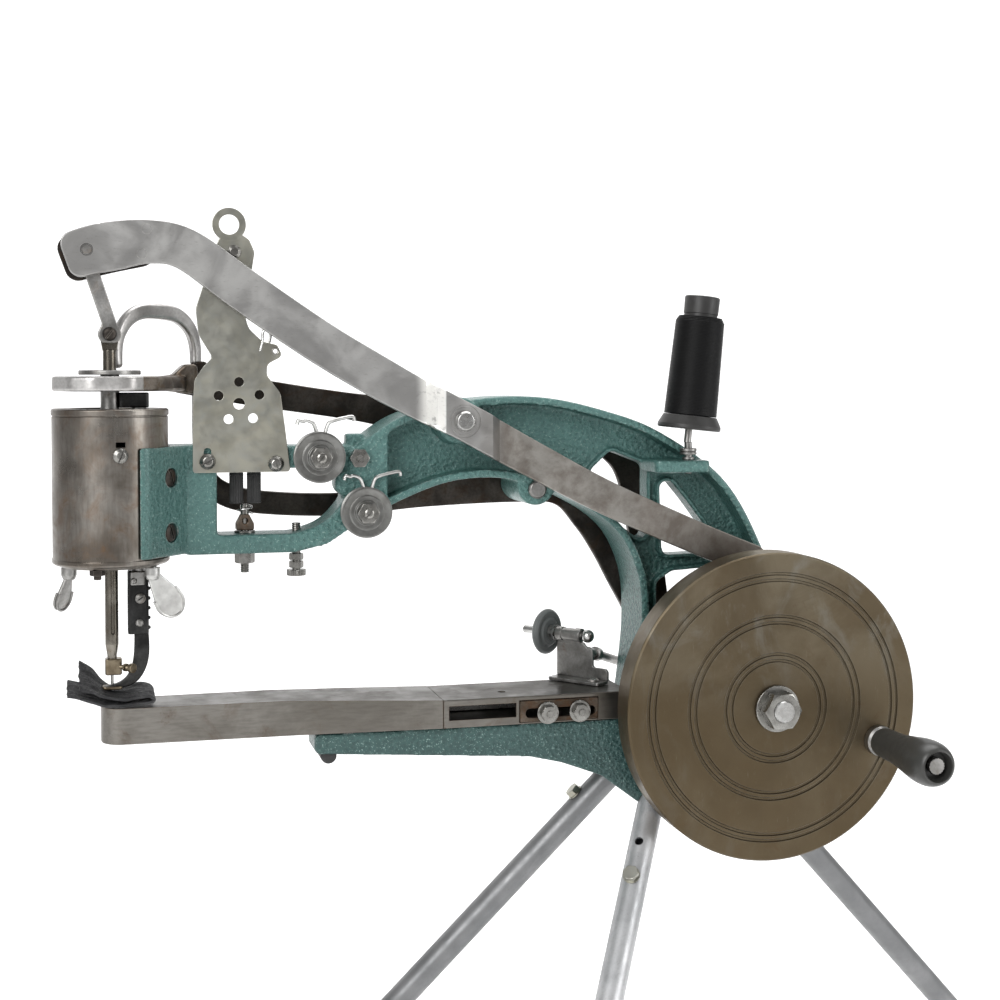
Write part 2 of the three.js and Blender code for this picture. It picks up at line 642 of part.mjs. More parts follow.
function leatherSample() {
  const profile = [[-28, 387], [-19, 401], [-17, 403], [-15.5, 401], [-14, 386.4], [10, 385],
    [24, 381.5], [25, 380.5], [22, 378.6], [-4, 378.6], [-22, 384]];
  return plate(profile, -15, 13).subtract(pinZ(0, 0, 1.6, 370, 400));
}

// The winder's own frame: +X runs along its spindle from the tyre, and Z is still height.
const winderFrame = frameAt([WINDER.x, WINDER.y, 0], [0, 0, WINDER.turn]);

function winderBracket() {
  const sheet = [[9, 377], [9, 400], [30, 400], [34, 396], [38, 396], [38, 384], [50, 384],
    [50, 377]];
  return join(
    plate(sheet, -1, 1),
    box(9, -12, 374.3, 50, 1, 376.3),
    box(9, -1, 374.3, 50, 1, 378),
    pinX(0, WINDER.z, 4.6, 9, 29, 16),
    box(10, -1, 398, 28, 1, 402),
    pinZ(42, -6, 3.6, 376, 379),
  ).subtract(pinX(0, WINDER.z, WINDER.r + GAP, 0, 40, 16));
}

const winderSpindle = () =>
  join(
    pinX(0, WINDER.z, WINDER.r, -19, 33),
    pinX(0, WINDER.z, 5.6, 3.8, 8.6, 6),
    solidOf(new THREE.SphereGeometry(4.4, 12, 8).translate(33.5, 0, WINDER.z)),
  );

function winderTyre() {
  const profile = [[2.9, -3.4], [9, -3.4], [10, -2.4], [14.5, -2.8], [16, 0], [14.5, 2.8],
    [10, 2.4], [9, 3.4], [2.9, 3.4]];
  return turnedX(profile, [0, 0, WINDER.z]);
}

const winderRod = () => into(pinZ(0, 0, 3, 0, 56, 16), frameAt([311.5, 15, 392.5], [0, 99, 48]));

// ---- shuttle in the bed -------------------------------------------------------------------
function shuttle() {
  const { x, z, pinion } = SHUTTLE;
  const profile = [[0, z], [pinion, z], [pinion, 364], [11.5, 364.2], [11.5, 370.5],
    [8.4, 370.5], [8.4, 365.8], [2, 365.8], [2, 370], [0, 370]];
  return turned(profile, [x, 0, 0]).subtract(box(x - 13, -1.2, 367.5, x - 8, 1.2, 371));
}

function bobbin() {
  const profile = [[2.3, 366.1], [8, 366.1], [8, 366.9], [4, 366.9], [4, 369.4], [8, 369.4],
    [8, 370.2], [2.3, 370.2]];
  return turned(profile, [SHUTTLE.x, 0, 0], 16);
}

function rackRod() {
  const y = SHUTTLE.pinion + 0.5;
  return box(9, y, 360.3, 296, y + 4, 364).add(box(284, y - 4, 360.3, 296, y + 4, 369));
}

// ---- drive --------------------------------------------------------------------------------
// The wheel carries a handle hole and, in its back, the eccentric track of the needle lever.
function handWheel() {
  const { x, z, r, front, back } = WHEEL;
  const hub = SHAFT.r + GAP;
  const profile = [[hub, 0], [r - 1, 0], [r, 1], [r, 20], [r - 1, 21], [16, 23.5], [hub, 23.5]];
  const track = plate(circle(x, z + 17, 79, 28), back - 7, back + 1, [circle(x, z + 17, 67, 28)]);
  return turnedY(profile, [x, back, z], 48)
    .subtract(track)
    .subtract(pinY(HANDLE.x, HANDLE.z, 4 + GAP, front - 10, back + 5, 16));
}

const mainShaft = () =>
  join(
    pinY(WHEEL.x, WHEEL.z, SHAFT.r, -59, SHAFT.back, 24),
    pinY(WHEEL.x, WHEEL.z, 7, -72, -58.5, 20),
    pinY(WHEEL.x, WHEEL.z, 13, -34.7, -12.3, 24),
  );

const wheelNut = () =>
  join(pinY(WHEEL.x, WHEEL.z, 15, -61.3, -59.2, 32), hexY(WHEEL.x, WHEEL.z, 22, -71, -61))
    .subtract(pinY(WHEEL.x, WHEEL.z, 7 + GAP, -80, -50, 20));

// Two eccentric lobes behind the casting, one for each rear lever.
function rearCam() {
  const lobe = (dx, dz, y0, y1) => pinY(WHEEL.x + dx, WHEEL.z + dz, 20, y0, y1, 32);
  return join(lobe(5, 3, 42, 50.5), lobe(-4, 5, 50.4, 58.5)).subtract(
    pinY(WHEEL.x, WHEEL.z, SHAFT.r + GAP, 30, 70, 24),
  );
}

const handleBolt = () =>
  join(
    pinY(HANDLE.x, HANDLE.z, 4, -128, WHEEL.back - 0.5, 16),
    pinY(HANDLE.x, HANDLE.z, 9, -60.5, -57, 24),
    hexY(HANDLE.x, HANDLE.z, 10, -131.5, -127.9),
  );

function handleGrip() {
  const profile = [[4.3, 1], [8.6, 1], [9, 3], [9.2, 12], [11, 30], [13.2, 48], [14.2, 60],
    [13.8, 68], [11.5, 73.5], [8.5, 74.3], [7, 73], [6.8, 67], [4.3, 67]];
  return turnedY(profile, [HANDLE.x, HANDLE.base, HANDLE.z], 16);
}

// ---- assembly -----------------------------------------------------------------------------
add("frame_casting", frameCasting(), "green");
for (const [side, leg] of Object.entries(LEGS)) {
  const group = subgroup(legFrame(leg));
  add("leg_" + side, legTube(leg), "tube", group);
  add("leg_bolt_" + side, legBolt(leg), "zinc", group);
  add("foot_" + side, legFoot(), "black", group);
}
add("head_cylinder", headCylinder(), "steel");
["upper", "lower"].forEach((name, i) =>
  add("clamp_screw_" + name, clampScrew(CLAMP_SCREWS.heights[i]), "dark"));
add("turret", turret(), "steel");
add("wing_screw_left", wingScrew(WINGS.left), "zinc");
add("wing_screw_right", wingScrew(WINGS.right), "zinc");
add("presser_sleeve", presserSleeve(), "dark");
add("presser_foot", presserFoot(), "black");
add("needle_bar", needleBar(), "steel");
add("needle", needle(), "steel");
add("needle_lever", needleLever(), "steel");
add("needle_link", needleLink(), "steel");
add("ring_lever", ringLever(), "dark");
add("gooseneck_lever", gooseneckLever(), "dark");
add("lever_bolt", leverBolt(), "steel");
add("rear_pin", rearPin(), "zinc");
add("thread_plate", threadPlate(), "zinc");
["left", "right"].forEach((side, i) => {
  add("plate_screw_" + side, plateScrew(PLATE_SCREWS[i]), "zinc");
  add("pad_" + side, pad(PADS[side]), "black");
});
add("tension_rod", tensionRod(), "zinc");
add("adjust_bolt", adjustBolt(), "zinc");
add("lock_nut", lockNut(), "zinc");
for (const [name, place] of Object.entries(TENSION)) {
  add("tension_disc_" + name, tensionDisc(place), "steel");
  add("tension_screw_" + name, tensionScrew(place), "zinc");
}
const spool = subgroup(spoolFrame);
add("spool_spindle", spoolSpindle(), "zinc", spool);
add("spool_core", spoolCore(), "dark", spool);
add("spool_thread", spoolThread(), "thread", spool);
add("bed_arm", bedArm(), "steel");
add("bed_cover", bedCover(), "steel");
add("slide_plate", slidePlate(), "steel");
add("bed_nut_left", bedNut(270.5), "zinc");
add("bed_nut_right", bedNut(292), "zinc");
add("leather_sample", leatherSample(), "black");
const winder = subgroup(winderFrame);
add("winder_bracket", winderBracket(), "zinc", winder);
add("winder_spindle", winderSpindle(), "zinc", winder);
add("winder_tyre", winderTyre(), "black", winder);
add("winder_rod", winderRod(), "steel");
add("shuttle", shuttle(), "steel");
add("bobbin", bobbin(), "steel");
add("rack_rod", rackRod(), "steel");
add("hand_wheel", handWheel(), "dark");
add("main_shaft", mainShaft(), "steel");
add("wheel_nut", wheelNut(), "zinc");
add("rear_cam", rearCam(), "steel");
add("handle_bolt", handleBolt(), "zinc");
add("handle_grip", handleGrip(), "black");

const bounds = new THREE.Box3().setFromObject(machine, true);
const centre = bounds.getCenter(new THREE.Vector3());
machine.position.set(-centre.x, -centre.y, -bounds.min.z);
machine.name = "leather_sewing_machine";

export default machine;
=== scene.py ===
"""Looks of the hand-cranked leather sewing machine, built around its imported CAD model.

Shapes are made in the model's own millimetres: X = 0, Y = 0 is the needle axis, -Y is the
front and Z = 0 is the floor. piece() moves them into the row frame, in metres.
"""
import bisect
import json
import math

import bmesh
import bpy
from mathutils import Euler, Matrix, Vector, noise

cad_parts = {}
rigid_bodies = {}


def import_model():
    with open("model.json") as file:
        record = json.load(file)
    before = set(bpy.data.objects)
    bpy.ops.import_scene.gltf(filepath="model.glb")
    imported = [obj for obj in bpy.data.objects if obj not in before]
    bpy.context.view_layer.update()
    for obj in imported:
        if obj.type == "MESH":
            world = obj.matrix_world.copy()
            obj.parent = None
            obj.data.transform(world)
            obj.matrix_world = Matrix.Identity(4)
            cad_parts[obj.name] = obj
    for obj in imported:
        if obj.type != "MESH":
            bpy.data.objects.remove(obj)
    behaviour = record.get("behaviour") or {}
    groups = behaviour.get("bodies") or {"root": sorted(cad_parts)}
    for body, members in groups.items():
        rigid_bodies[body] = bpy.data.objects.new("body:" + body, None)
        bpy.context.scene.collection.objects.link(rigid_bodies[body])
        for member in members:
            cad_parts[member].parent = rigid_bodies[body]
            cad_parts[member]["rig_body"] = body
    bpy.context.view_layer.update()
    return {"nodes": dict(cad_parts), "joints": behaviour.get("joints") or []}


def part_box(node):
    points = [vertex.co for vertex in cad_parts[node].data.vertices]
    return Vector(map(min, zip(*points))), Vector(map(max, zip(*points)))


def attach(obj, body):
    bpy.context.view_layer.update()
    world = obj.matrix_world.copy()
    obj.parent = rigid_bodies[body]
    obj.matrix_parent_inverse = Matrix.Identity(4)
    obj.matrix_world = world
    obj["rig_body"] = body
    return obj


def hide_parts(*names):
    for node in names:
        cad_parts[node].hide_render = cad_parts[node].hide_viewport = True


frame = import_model()

# ---- places and sizes from the frame ------------------------------------------------------
MM = 0.001
needle_low, needle_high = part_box("needle")
NEEDLE = Vector(((needle_low.x + needle_high.x) / 2, (needle_low.y + needle_high.y) / 2, 0))


def span(node):
    """Lowest and highest corner of a CAD node in model millimetres."""
    low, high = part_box(node)
    return (low - NEEDLE) / MM, (high - NEEDLE) / MM


def middle(node):
    low, high = span(node)
    return (low + high) / 2


def joint_place(name):
    """A joint's point in model millimetres."""
    found = next(j for j in frame["joints"] if j["name"] == name)
    return (Vector(found["pos_m"]) - NEEDLE) / MM


PIVOT = joint_place("needle_lever_swing")
GOOSE = joint_place("gooseneck_swing")
LINK = joint_place("needle_link_swing")
WHEEL = joint_place("wheel_spin")
HANDLE = joint_place("handle_spin")
SPOOL = joint_place("spool_spin")
WINDER = joint_place("winder_spin")
SHUTTLE = joint_place("shuttle_turn")
DISCS = {side: joint_place(f"disc_{side}_spin") for side in ("upper", "lower")}
WHEEL_LOW, WHEEL_HIGH = span("hand_wheel")
WHEEL_R = (WHEEL_HIGH.x - WHEEL_LOW.x) / 2
HEAD_LOW, HEAD_HIGH = span("head_cylinder")
HEAD_R = (HEAD_HIGH.x - HEAD_LOW.x) / 2
SPOOL_TILT = math.radians(6.2)
WINDER_TURN = math.radians(-52)
LEG_SPLAY = math.radians(44)
LEG_TOP = 300
LEG_R = 8.5
LEGS = {
    "left": (319.4, 22, 172, 13),
    "front": (342.7, -20, 234.5, 58),
    "right": (429.4, 26, 14, 34),
}

# ---- outlines -----------------------------------------------------------------------------


def fillet(points, radius=0.0, steps=5, closed=True):
    """Rounds the corners of an outline; a point may carry its own radius as a third number."""
    rounded = []
    count = len(points)
    for i, point in enumerate(points):
        here = Vector(point[:2])
        wanted = point[2] if len(point) > 2 else radius
        back = Vector(points[i - 1][:2]) - here
        on = Vector(points[(i + 1) % count][:2]) - here
        at_end = not closed and i in (0, count - 1)
        if wanted <= 0 or at_end or back.length < 1e-6 or on.length < 1e-6:
            rounded.append(tuple(here))
            continue
        half = back.angle(on) / 2
        reach = min(wanted / math.tan(half), 0.48 * back.length, 0.48 * on.length)
        if reach < 0.01:
            rounded.append(tuple(here))
            continue
        centre = here + (back.normalized() + on.normalized()).normalized() * (
            reach / math.cos(half)
        )
        start = here + back.normalized() * reach - centre
        stop = here + on.normalized() * reach - centre
        first = math.atan2(start.y, start.x)
        turn = math.remainder(math.atan2(stop.y, stop.x) - first, math.tau)
        for k in range(steps + 1):
            angle = first + turn * k / steps
            rounded.append(
                (centre.x + start.length * math.cos(angle), centre.y + start.length * math.sin(angle))
            )
    return rounded


def circle(x, z, r, steps=48):
    turns = [math.tau * k / steps for k in range(steps)]
    return [(x + r * math.cos(a), z + r * math.sin(a)) for a in turns]


def rectangle(x0, z0, x1, z1, radius=0.0):
    return fillet([(x0, z0), (x1, z0), (x1, z1), (x0, z1)], radius)


def smooth(points, count):
    """Points along a smooth line through the given ones, of any number of dimensions."""
    line = []
    padded = [points[0], *points, points[-1]]
    pieces = len(points) - 1
    for k in range(count + 1):
        place = min(k / count * pieces, pieces - 1e-9)
        i, t = int(place), place - int(place)
        a, b, c, d = padded[i : i + 4]
        line.append(
            tuple(
                0.5 * (2 * q + (r - p) * t + (2 * p - 5 * q + 4 * r - s) * t * t
                       + (3 * q - p - 3 * r + s) * t**3)
                for p, q, r, s in zip(a, b, c, d)
            )
        )
    return line


def area(points):
    shifted = points[1:] + points[:1]
    return sum(a[0] * b[1] - b[0] * a[1] for a, b in zip(points, shifted)) / 2


def inset(points, distance):
    """Moves every edge of an outline inwards, or outwards if distance is negative."""
    side = math.copysign(1, area(points))
    normals = []
    for a, b in zip(points, points[1:] + points[:1]):
        along = (Vector(b) - Vector(a)).normalized()
        normals.append(Vector((-side * along.y, side * along.x)))
    moved = []
    for i, point in enumerate(points):
        p, q = normals[i - 1], normals[i]
        moved.append(tuple(Vector(point) + (p + q) * distance / (1 + p.dot(q))))
    return moved


def band(stations, count=80, corner=2.0):
    """The outline of a flat bar that follows stations (x, z, width), its ends rounded."""
    line = smooth(stations, count * 4)
    lengths = [0.0]
    for a, b in zip(line, line[1:]):
        lengths.append(lengths[-1] + math.dist(a[:2], b[:2]))
    whole = lengths[-1]
    ends = [corner * (1 - math.cos(math.radians(15 * k))) for k in range(6)]
    places = ends + [corner + (whole - 2 * corner) * k / count for k in range(count + 1)]
    places += [whole - end for end in reversed(ends)]
    left, right = [], []
    for place in places:
        i = min(max(bisect.bisect_right(lengths, place) - 1, 0), len(line) - 2)
        share = (place - lengths[i]) / (lengths[i + 1] - lengths[i])
        x, z, width = (a + (b - a) * share for a, b in zip(line[i], line[i + 1]))
        before, after = line[max(i - 2, 0)], line[min(i + 3, len(line) - 1)]
        along = Vector((after[0] - before[0], after[1] - before[1])).normalized()
        short = max(corner - min(place, whole - place), 0)
        half = width / 2 - corner + math.sqrt(corner**2 - short**2)
        for edge, side in ((left, 1), (right, -1)):
            spot = Vector((x - side * along.y * half, z + side * along.x * half))
            if not edge or (spot - Vector(edge[-1])).dot(along) > 0.02:
                edge.append(tuple(spot))
    return left + right[::-1]


# ---- solids -------------------------------------------------------------------------------


def shape(points, faces):
    made = bpy.data.meshes.new("shape")
    made.from_pydata([tuple(p) for p in points], [], faces)
    return made


def edited(mesh, *steps):
    """Runs bmesh steps on a mesh and gives the same mesh back, its faces pointing out."""
    work = bmesh.new()
    work.from_mesh(mesh)
    for step in steps:
        step(work)
    bmesh.ops.recalc_face_normals(work, faces=work.faces)
    work.to_mesh(mesh)
    work.free()
    return mesh


def weld(work):
    bmesh.ops.remove_doubles(work, verts=work.verts, dist=1e-3)
    bmesh.ops.dissolve_degenerate(work, edges=work.edges, dist=1e-4)


def moved(mesh, place=(0, 0, 0), turn=(0, 0, 0)):
    """Turns a mesh by radians about X, then Y, then Z, and moves it."""
    mesh.transform(Matrix.Translation(place) @ Euler(turn, "XYZ").to_matrix().to_4x4())
    return mesh


def join(*meshes):
    work = bmesh.new()
    for mesh in meshes:
        work.from_mesh(mesh)
    made = bpy.data.meshes.new("shape")
    work.to_mesh(made)
    work.free()
    return made


def lathe(profile, at=(0, 0, 0), axis=(0, 0, 1), steps=96):
    """Turns a profile of (radius, height) about an axis through a point."""
    aim = Vector(axis).to_track_quat("Z", "Y").to_matrix()
    points, faces, rings = [], [], []
    for r, h in profile:
        count = 1 if r < 1e-6 else steps
        rings.append((len(points), count))
        for k in range(count):
            a = math.tau * k / steps
            points.append(Vector(at) + aim @ Vector((r * math.cos(a), r * math.sin(a), h)))
    pairs = list(zip(rings, rings[1:]))
    if profile[0][0] > 1e-6 and profile[-1][0] > 1e-6:
        pairs.append((rings[-1], rings[0]))
    for (a, in_a), (b, in_b) in pairs:
        for k in range(steps):
            on = k + 1
            corners = [a + k % in_a, a + on % in_a, b + on % in_b, b + k % in_b]
            corners = list(dict.fromkeys(corners))
            if len(corners) > 2:
                faces.append(corners)
    return edited(shape(points, faces))


def rod(r, start, stop, edge=0.4, steps=48):
    """A round bar between two points, its end edges broken."""
    start, stop = Vector(start), Vector(stop)
    length = (stop - start).length
    profile = [(0, 0), (r - edge, 0), (r, edge), (r, length - edge), (r - edge, length), (0, length)]
    return lathe(profile, start, stop - start, steps)


def ball(r, at, steps=32):
    arc = [(r * math.sin(math.pi * k / 16), -r * math.cos(math.pi * k / 16)) for k in range(17)]
    return lathe(arc, at, (0, 0, 1), steps)


def plate(outline, low, high, holes=(), edge=0.4, plane="XZ"):
    """An outline with broken edges between two Y planes, or between two heights for "XY"."""
    curve = bpy.data.curves.new("outline", "CURVE")
    curve.dimensions = "2D"
    curve.fill_mode = "BOTH"
    curve.extrude = (high - low) / 2 - edge
    curve.bevel_depth = edge
    curve.bevel_resolution = 2
    curve.offset = -edge
    for turn, loop in [(1, outline), *((-1, hole) for hole in holes)]:
        loop = list(loop) if area(list(loop)) * turn > 0 else list(loop)[::-1]
        spline = curve.splines.new("POLY")
        spline.points.add(len(loop) - 1)
        spline.use_cyclic_u = True
        for point, (x, z) in zip(spline.points, loop):
            point.co = (x, z, 0, 1)
    holder = bpy.data.objects.new("outline", curve)
    made = bpy.data.meshes.new_from_object(holder)
    bpy.data.objects.remove(holder)
    bpy.data.curves.remove(curve)
    centre = (low + high) / 2
    if plane == "XZ":
        moved(made, (0, centre, 0), (math.pi / 2, 0, 0))
    else:
        moved(made, (0, 0, centre))
    return edited(made, weld)


def block(x0, y0, z0, x1, y1, z1, edge=0.5, corner=0.0):
    """A box with broken edges; corner rounds its upright edges."""
    return plate(rectangle(x0, y0, x1, y1, corner), z0, z1, edge=edge, plane="XY")


def modified(mesh, kind, **settings):
    """The mesh after one modifier."""
    holder = bpy.data.objects.new("work", mesh)
    bpy.context.scene.collection.objects.link(holder)
    modifier = holder.modifiers.new("work", kind)
    for key, value in settings.items():
        setattr(modifier, key, value)
    graph = bpy.context.evaluated_depsgraph_get()
    made = bpy.data.meshes.new_from_object(holder.evaluated_get(graph))
    bpy.data.objects.remove(holder)
    return made


def boolean(mesh, tools, operation="DIFFERENCE"):
    """Cuts, joins or intersects a closed mesh with closed tools."""
    for tool in tools:
        cutter = bpy.data.objects.new("tool", tool)
        bpy.context.scene.collection.objects.link(cutter)
        mesh = modified(mesh, "BOOLEAN", operation=operation, object=cutter, solver="EXACT")
        bpy.data.objects.remove(cutter)
    return mesh


def broken(mesh, width=0.4, segments=2):
    """Breaks the sharp edges of a mesh."""
    return modified(
        mesh, "BEVEL", width=width, segments=segments, limit_method="ANGLE",
        angle_limit=math.radians(38), miter_outer="MITER_ARC",
    )


def nut(at, axis, flats, height, bore=0.0, chamfer=0.8):
    """A hexagon nut or bolt head with chamfered corners."""
    corner = flats / math.sqrt(3)
    prism = lathe([(0, 0), (corner, 0), (corner, height), (0, height)], at, axis, 6)
    drop = (corner - flats / 2) * 0.75
    round_ends = lathe(
        [(0, -0.01), (flats / 2, -0.01), (corner + 0.05, drop), (corner + 0.05, height - drop),
         (flats / 2 * 0.98, height + 0.01), (0, height + 0.01)],
        at, axis, 72,
    )
    solid = boolean(prism, [round_ends], "INTERSECT")
    if bore:
        inner = lathe([(0, -1), (bore, -1), (bore, height + 1), (0, height + 1)], at, axis, 48)
        solid = boolean(solid, [inner])
    return broken(solid, chamfer * 0.2, 1)


def thread(r, start, stop, pitch=1.2, depth=0.45, steps=40):
    """A bolt's threaded shank, drawn as rings."""
    start, stop = Vector(start), Vector(stop)
    length = (stop - start).length
    turns = max(2, int(length / pitch))
    profile = [(0, 0), (r - depth, 0)]
    for k in range(turns):
        profile.append((r, (k + 0.35) * length / turns))
        profile.append((r, (k + 0.5) * length / turns))
        profile.append((r - depth, (k + 1) * length / turns))
    profile.append((0, length))
    return lathe(profile, start, stop - start, steps)


def slotted(at, axis, r, height, slot=0.9, dome=0.6, turn=0.0):
    """A screw head with a screwdriver slot."""
    profile = fillet(
        [(0, 0), (r, 0), (r, height * (1 - dome), 0.5 * height), (r * 0.55, height, 0.6 * height),
         (0, height)],
        0, 5, closed=False,
    )
    aim = Vector(axis).to_track_quat("Z", "Y")
    cutter = block(-r - 1, -slot / 2, height * 0.45, r + 1, slot / 2, height + 1, edge=0.05)
    cutter.transform(
        Matrix.Translation(at) @ aim.to_matrix().to_4x4() @ Matrix.Rotation(turn, 4, "Z")
    )
    return boolean(lathe(profile, at, axis, 64), [cutter])


def wire(points, r, count=80, steps=12, cyclic=False):
    """A round wire along a smooth line."""
    curve = bpy.data.curves.new("wire", "CURVE")
    curve.dimensions = "3D"
    curve.bevel_depth = r
    curve.bevel_resolution = steps // 4
    curve.use_fill_caps = True
    line = smooth(points, count)
    spline = curve.splines.new("POLY")
    spline.points.add(len(line) - 1)
    spline.use_cyclic_u = cyclic
    for point, place in zip(spline.points, line):
        point.co = (*place, 1)
    holder = bpy.data.objects.new("wire", curve)
    made = bpy.data.meshes.new_from_object(holder)
    bpy.data.objects.remove(holder)
    bpy.data.curves.remove(curve)
    return edited(made, weld)


def cog(x, y, r, teeth, depth):
    """A knurled outline."""
    return [
        (x + (r - depth * (k % 2)) * math.cos(math.pi * k / teeth),
         y + (r - depth * (k % 2)) * math.sin(math.pi * k / teeth))
        for k in range(2 * teeth)
    ]


def piece(name, mesh, material, *nodes, body=None, sharp=35):
    """Puts a finished mesh in the row frame, on the body of the CAD nodes that it replaces."""
    mesh.transform(Matrix.Translation(NEEDLE) @ Matrix.Scale(MM, 4))
    mesh.materials.clear()
    mesh.materials.append(material)
    mesh.polygons.foreach_set("use_smooth", [True] * len(mesh.polygons))
    mesh.set_sharp_from_angle(angle=math.radians(sharp))
    mesh.name = name
    made = bpy.data.objects.new(name, mesh)
    bpy.context.scene.collection.objects.link(made)
    made.modifiers.new("flat_faces_stay_flat", "WEIGHTED_NORMAL").keep_sharp = True
    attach(made, body or frame["nodes"][nodes[0]]["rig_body"])
    if nodes:
        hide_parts(*nodes)
    return made


# ---- materials ----------------------------------------------------------------------------


class Finish:
    """A material under construction. Lengths are in metres, in the object's own space."""

    def __init__(self, name, **sockets):
        self.material = bpy.data.materials.new(name)
        self.material.use_nodes = True
        self.nodes = self.material.node_tree.nodes
        self.links = self.material.node_tree.links
        self.shader = self.nodes["Principled BSDF"]
        self.place = self.nodes.new("ShaderNodeTexCoord").outputs["Object"]
        for socket, value in sockets.items():
            self.shader.inputs[socket.replace("_", " ")].default_value = value

    def node(self, kind, inputs=(), **settings):
        made = self.nodes.new("ShaderNode" + kind)
        for key, value in settings.items():
            setattr(made, key, value)
        for key, value in dict(inputs).items():
            if isinstance(value, bpy.types.NodeSocket):
                self.links.new(value, made.inputs[key])
            else:
                made.inputs[key].default_value = value
        return made

    def stretched(self, scale):
        return self.node("Mapping", {"Vector": self.place, "Scale": scale}).outputs["Vector"]

    def noise(self, size, detail=4.0, rough=0.55, warp=0.0, stretch=None):
        """Noise between 0 and 1 with features of the given size."""
        inputs = {"Vector": self.stretched(stretch) if stretch else self.place,
                  "Scale": 1 / size, "Detail": detail, "Roughness": rough, "Distortion": warp}
        return self.node("TexNoise", inputs).outputs["Fac"]

    def cells(self, size, feature="F1", warp=1.0):
        inputs = {"Vector": self.place, "Scale": 1 / size, "Randomness": warp}
        return self.node("TexVoronoi", inputs, feature=feature).outputs["Distance"]

    def range(self, value, low, high, start=0.0, stop=1.0):
        inputs = {"Value": value, "From Min": low, "From Max": high, "To Min": start, "To Max": stop}
        return self.node("MapRange", inputs, interpolation_type="SMOOTHSTEP").outputs["Result"]

    def math(self, operation, a, b=0.5):
        return self.node("Math", {0: a, 1: b}, operation=operation, use_clamp=True).outputs[0]

    def mix(self, share, a, b):
        inputs = {"Factor": share, "A": (*a, 1) if isinstance(a, tuple) else a,
                  "B": (*b, 1) if isinstance(b, tuple) else b}
        made = self.nodes.new("ShaderNodeMix")
        made.data_type = "RGBA"
        colour_inputs = {"Factor": made.inputs[0], "A": made.inputs[6], "B": made.inputs[7]}
        for key, value in inputs.items():
            if isinstance(value, bpy.types.NodeSocket):
                self.links.new(value, colour_inputs[key])
            else:
                colour_inputs[key].default_value = value
        return made.outputs[2]

    def bump(self, height, strength, distance, below=None):
        inputs = {"Height": height, "Strength": strength, "Distance": distance}
        if below:
            inputs["Normal"] = below
        return self.node("Bump", inputs).outputs["Normal"]

    def edges(self, radius, low=0.06, high=0.35):
        """1 on edges that a hand or a rag would rub, from the angle a rounded edge turns by."""
        soft = self.node("Bevel", {"Radius": radius}, samples=6).outputs["Normal"]
        true = self.node("NewGeometry").outputs["Normal"]
        meet = self.node("VectorMath", {0: soft, 1: true}, operation="DOT_PRODUCT")
        away = self.node("Math", {0: 1.0, 1: meet.outputs["Value"]}, operation="SUBTRACT").outputs[0]
        return self.range(away, low * 0.5, high * 0.5)

    def wire_up(self, **sources):
        for socket, source in sources.items():
            self.links.new(source, self.shader.inputs[socket.replace("_", " ")])
        return self.material


def metal(name, light, dark, stain=(0.12, 0.07, 0.035), stained=0.35, rough=(0.28, 0.5),
          grain=(1, 1, 1), patch=0.03, worn=None, dents=0.00006, top_painted_shade=0.0):
    """Bare metal: two tones in patches, brown stains, fine grain and scratches."""
    f = Finish(name, Metallic=1.0)
    patches = f.range(f.noise(patch, 6, 0.6, 0.4), 0.35, 0.65)
    colour = f.mix(patches, dark, light)
    streaks = f.noise(0.0016, 3, 0.6, 0, grain)
    colour = f.mix(f.math("MULTIPLY", f.range(streaks, 0.35, 0.75), 0.35), colour,
                   tuple(c * 0.6 for c in dark))
    mottle = f.noise(patch * 0.45, 8, 0.7, 0.9)
    rust = f.math("MULTIPLY", f.range(mottle, 0.62 - 0.3 * stained, 0.95 - 0.3 * stained), 0.85)
    colour = f.mix(rust, colour, stain)
    if worn:
        colour = f.mix(f.edges(0.0007), colour, worn)
    # Painted shade: faces that point upwards can be darkened towards half the dark tone.
    if top_painted_shade:
        up = f.node("SeparateXYZ", {"Vector": f.node("NewGeometry").outputs["True Normal"]})
        painted_shade = f.range(up.outputs["Z"], 0.6, 0.95, 0.0, top_painted_shade)
        colour = f.mix(painted_shade, colour, tuple(c * 0.5 for c in dark))
    roughness = f.range(f.noise(patch * 0.6, 5, 0.6), 0.3, 0.7, *rough)
    roughness = f.math("ADD", roughness, f.math("MULTIPLY", rust, 0.25))
    relief = f.bump(f.noise(0.006, 6, 0.65), 0.3, dents)
    relief = f.bump(streaks, 0.12, 0.00003, relief)
    return f.wire_up(Base_Color=colour, Roughness=roughness, Normal=relief)


def small_metal(name, light, dark, stain=(0.16, 0.11, 0.06), stained=0.3, rough=(0.22, 0.36)):
    """Machined or plated small parts: even tone, dull spots and only the faintest ripple."""
    f = Finish(name, Metallic=1.0)
    colour = f.mix(f.range(f.noise(0.007, 4, 0.55), 0.3, 0.7), dark, light)
    spots = f.range(f.noise(0.0028, 5, 0.65), 0.72 - 0.25 * stained, 0.85)
    colour = f.mix(f.math("MULTIPLY", spots, 0.6), colour, stain)
    roughness = f.range(f.noise(0.004, 4, 0.6), 0.3, 0.7, *rough)
    relief = f.bump(f.noise(0.0025, 3, 0.5), 0.15, 0.00003)
    return f.wire_up(Base_Color=colour, Roughness=roughness, Normal=relief)


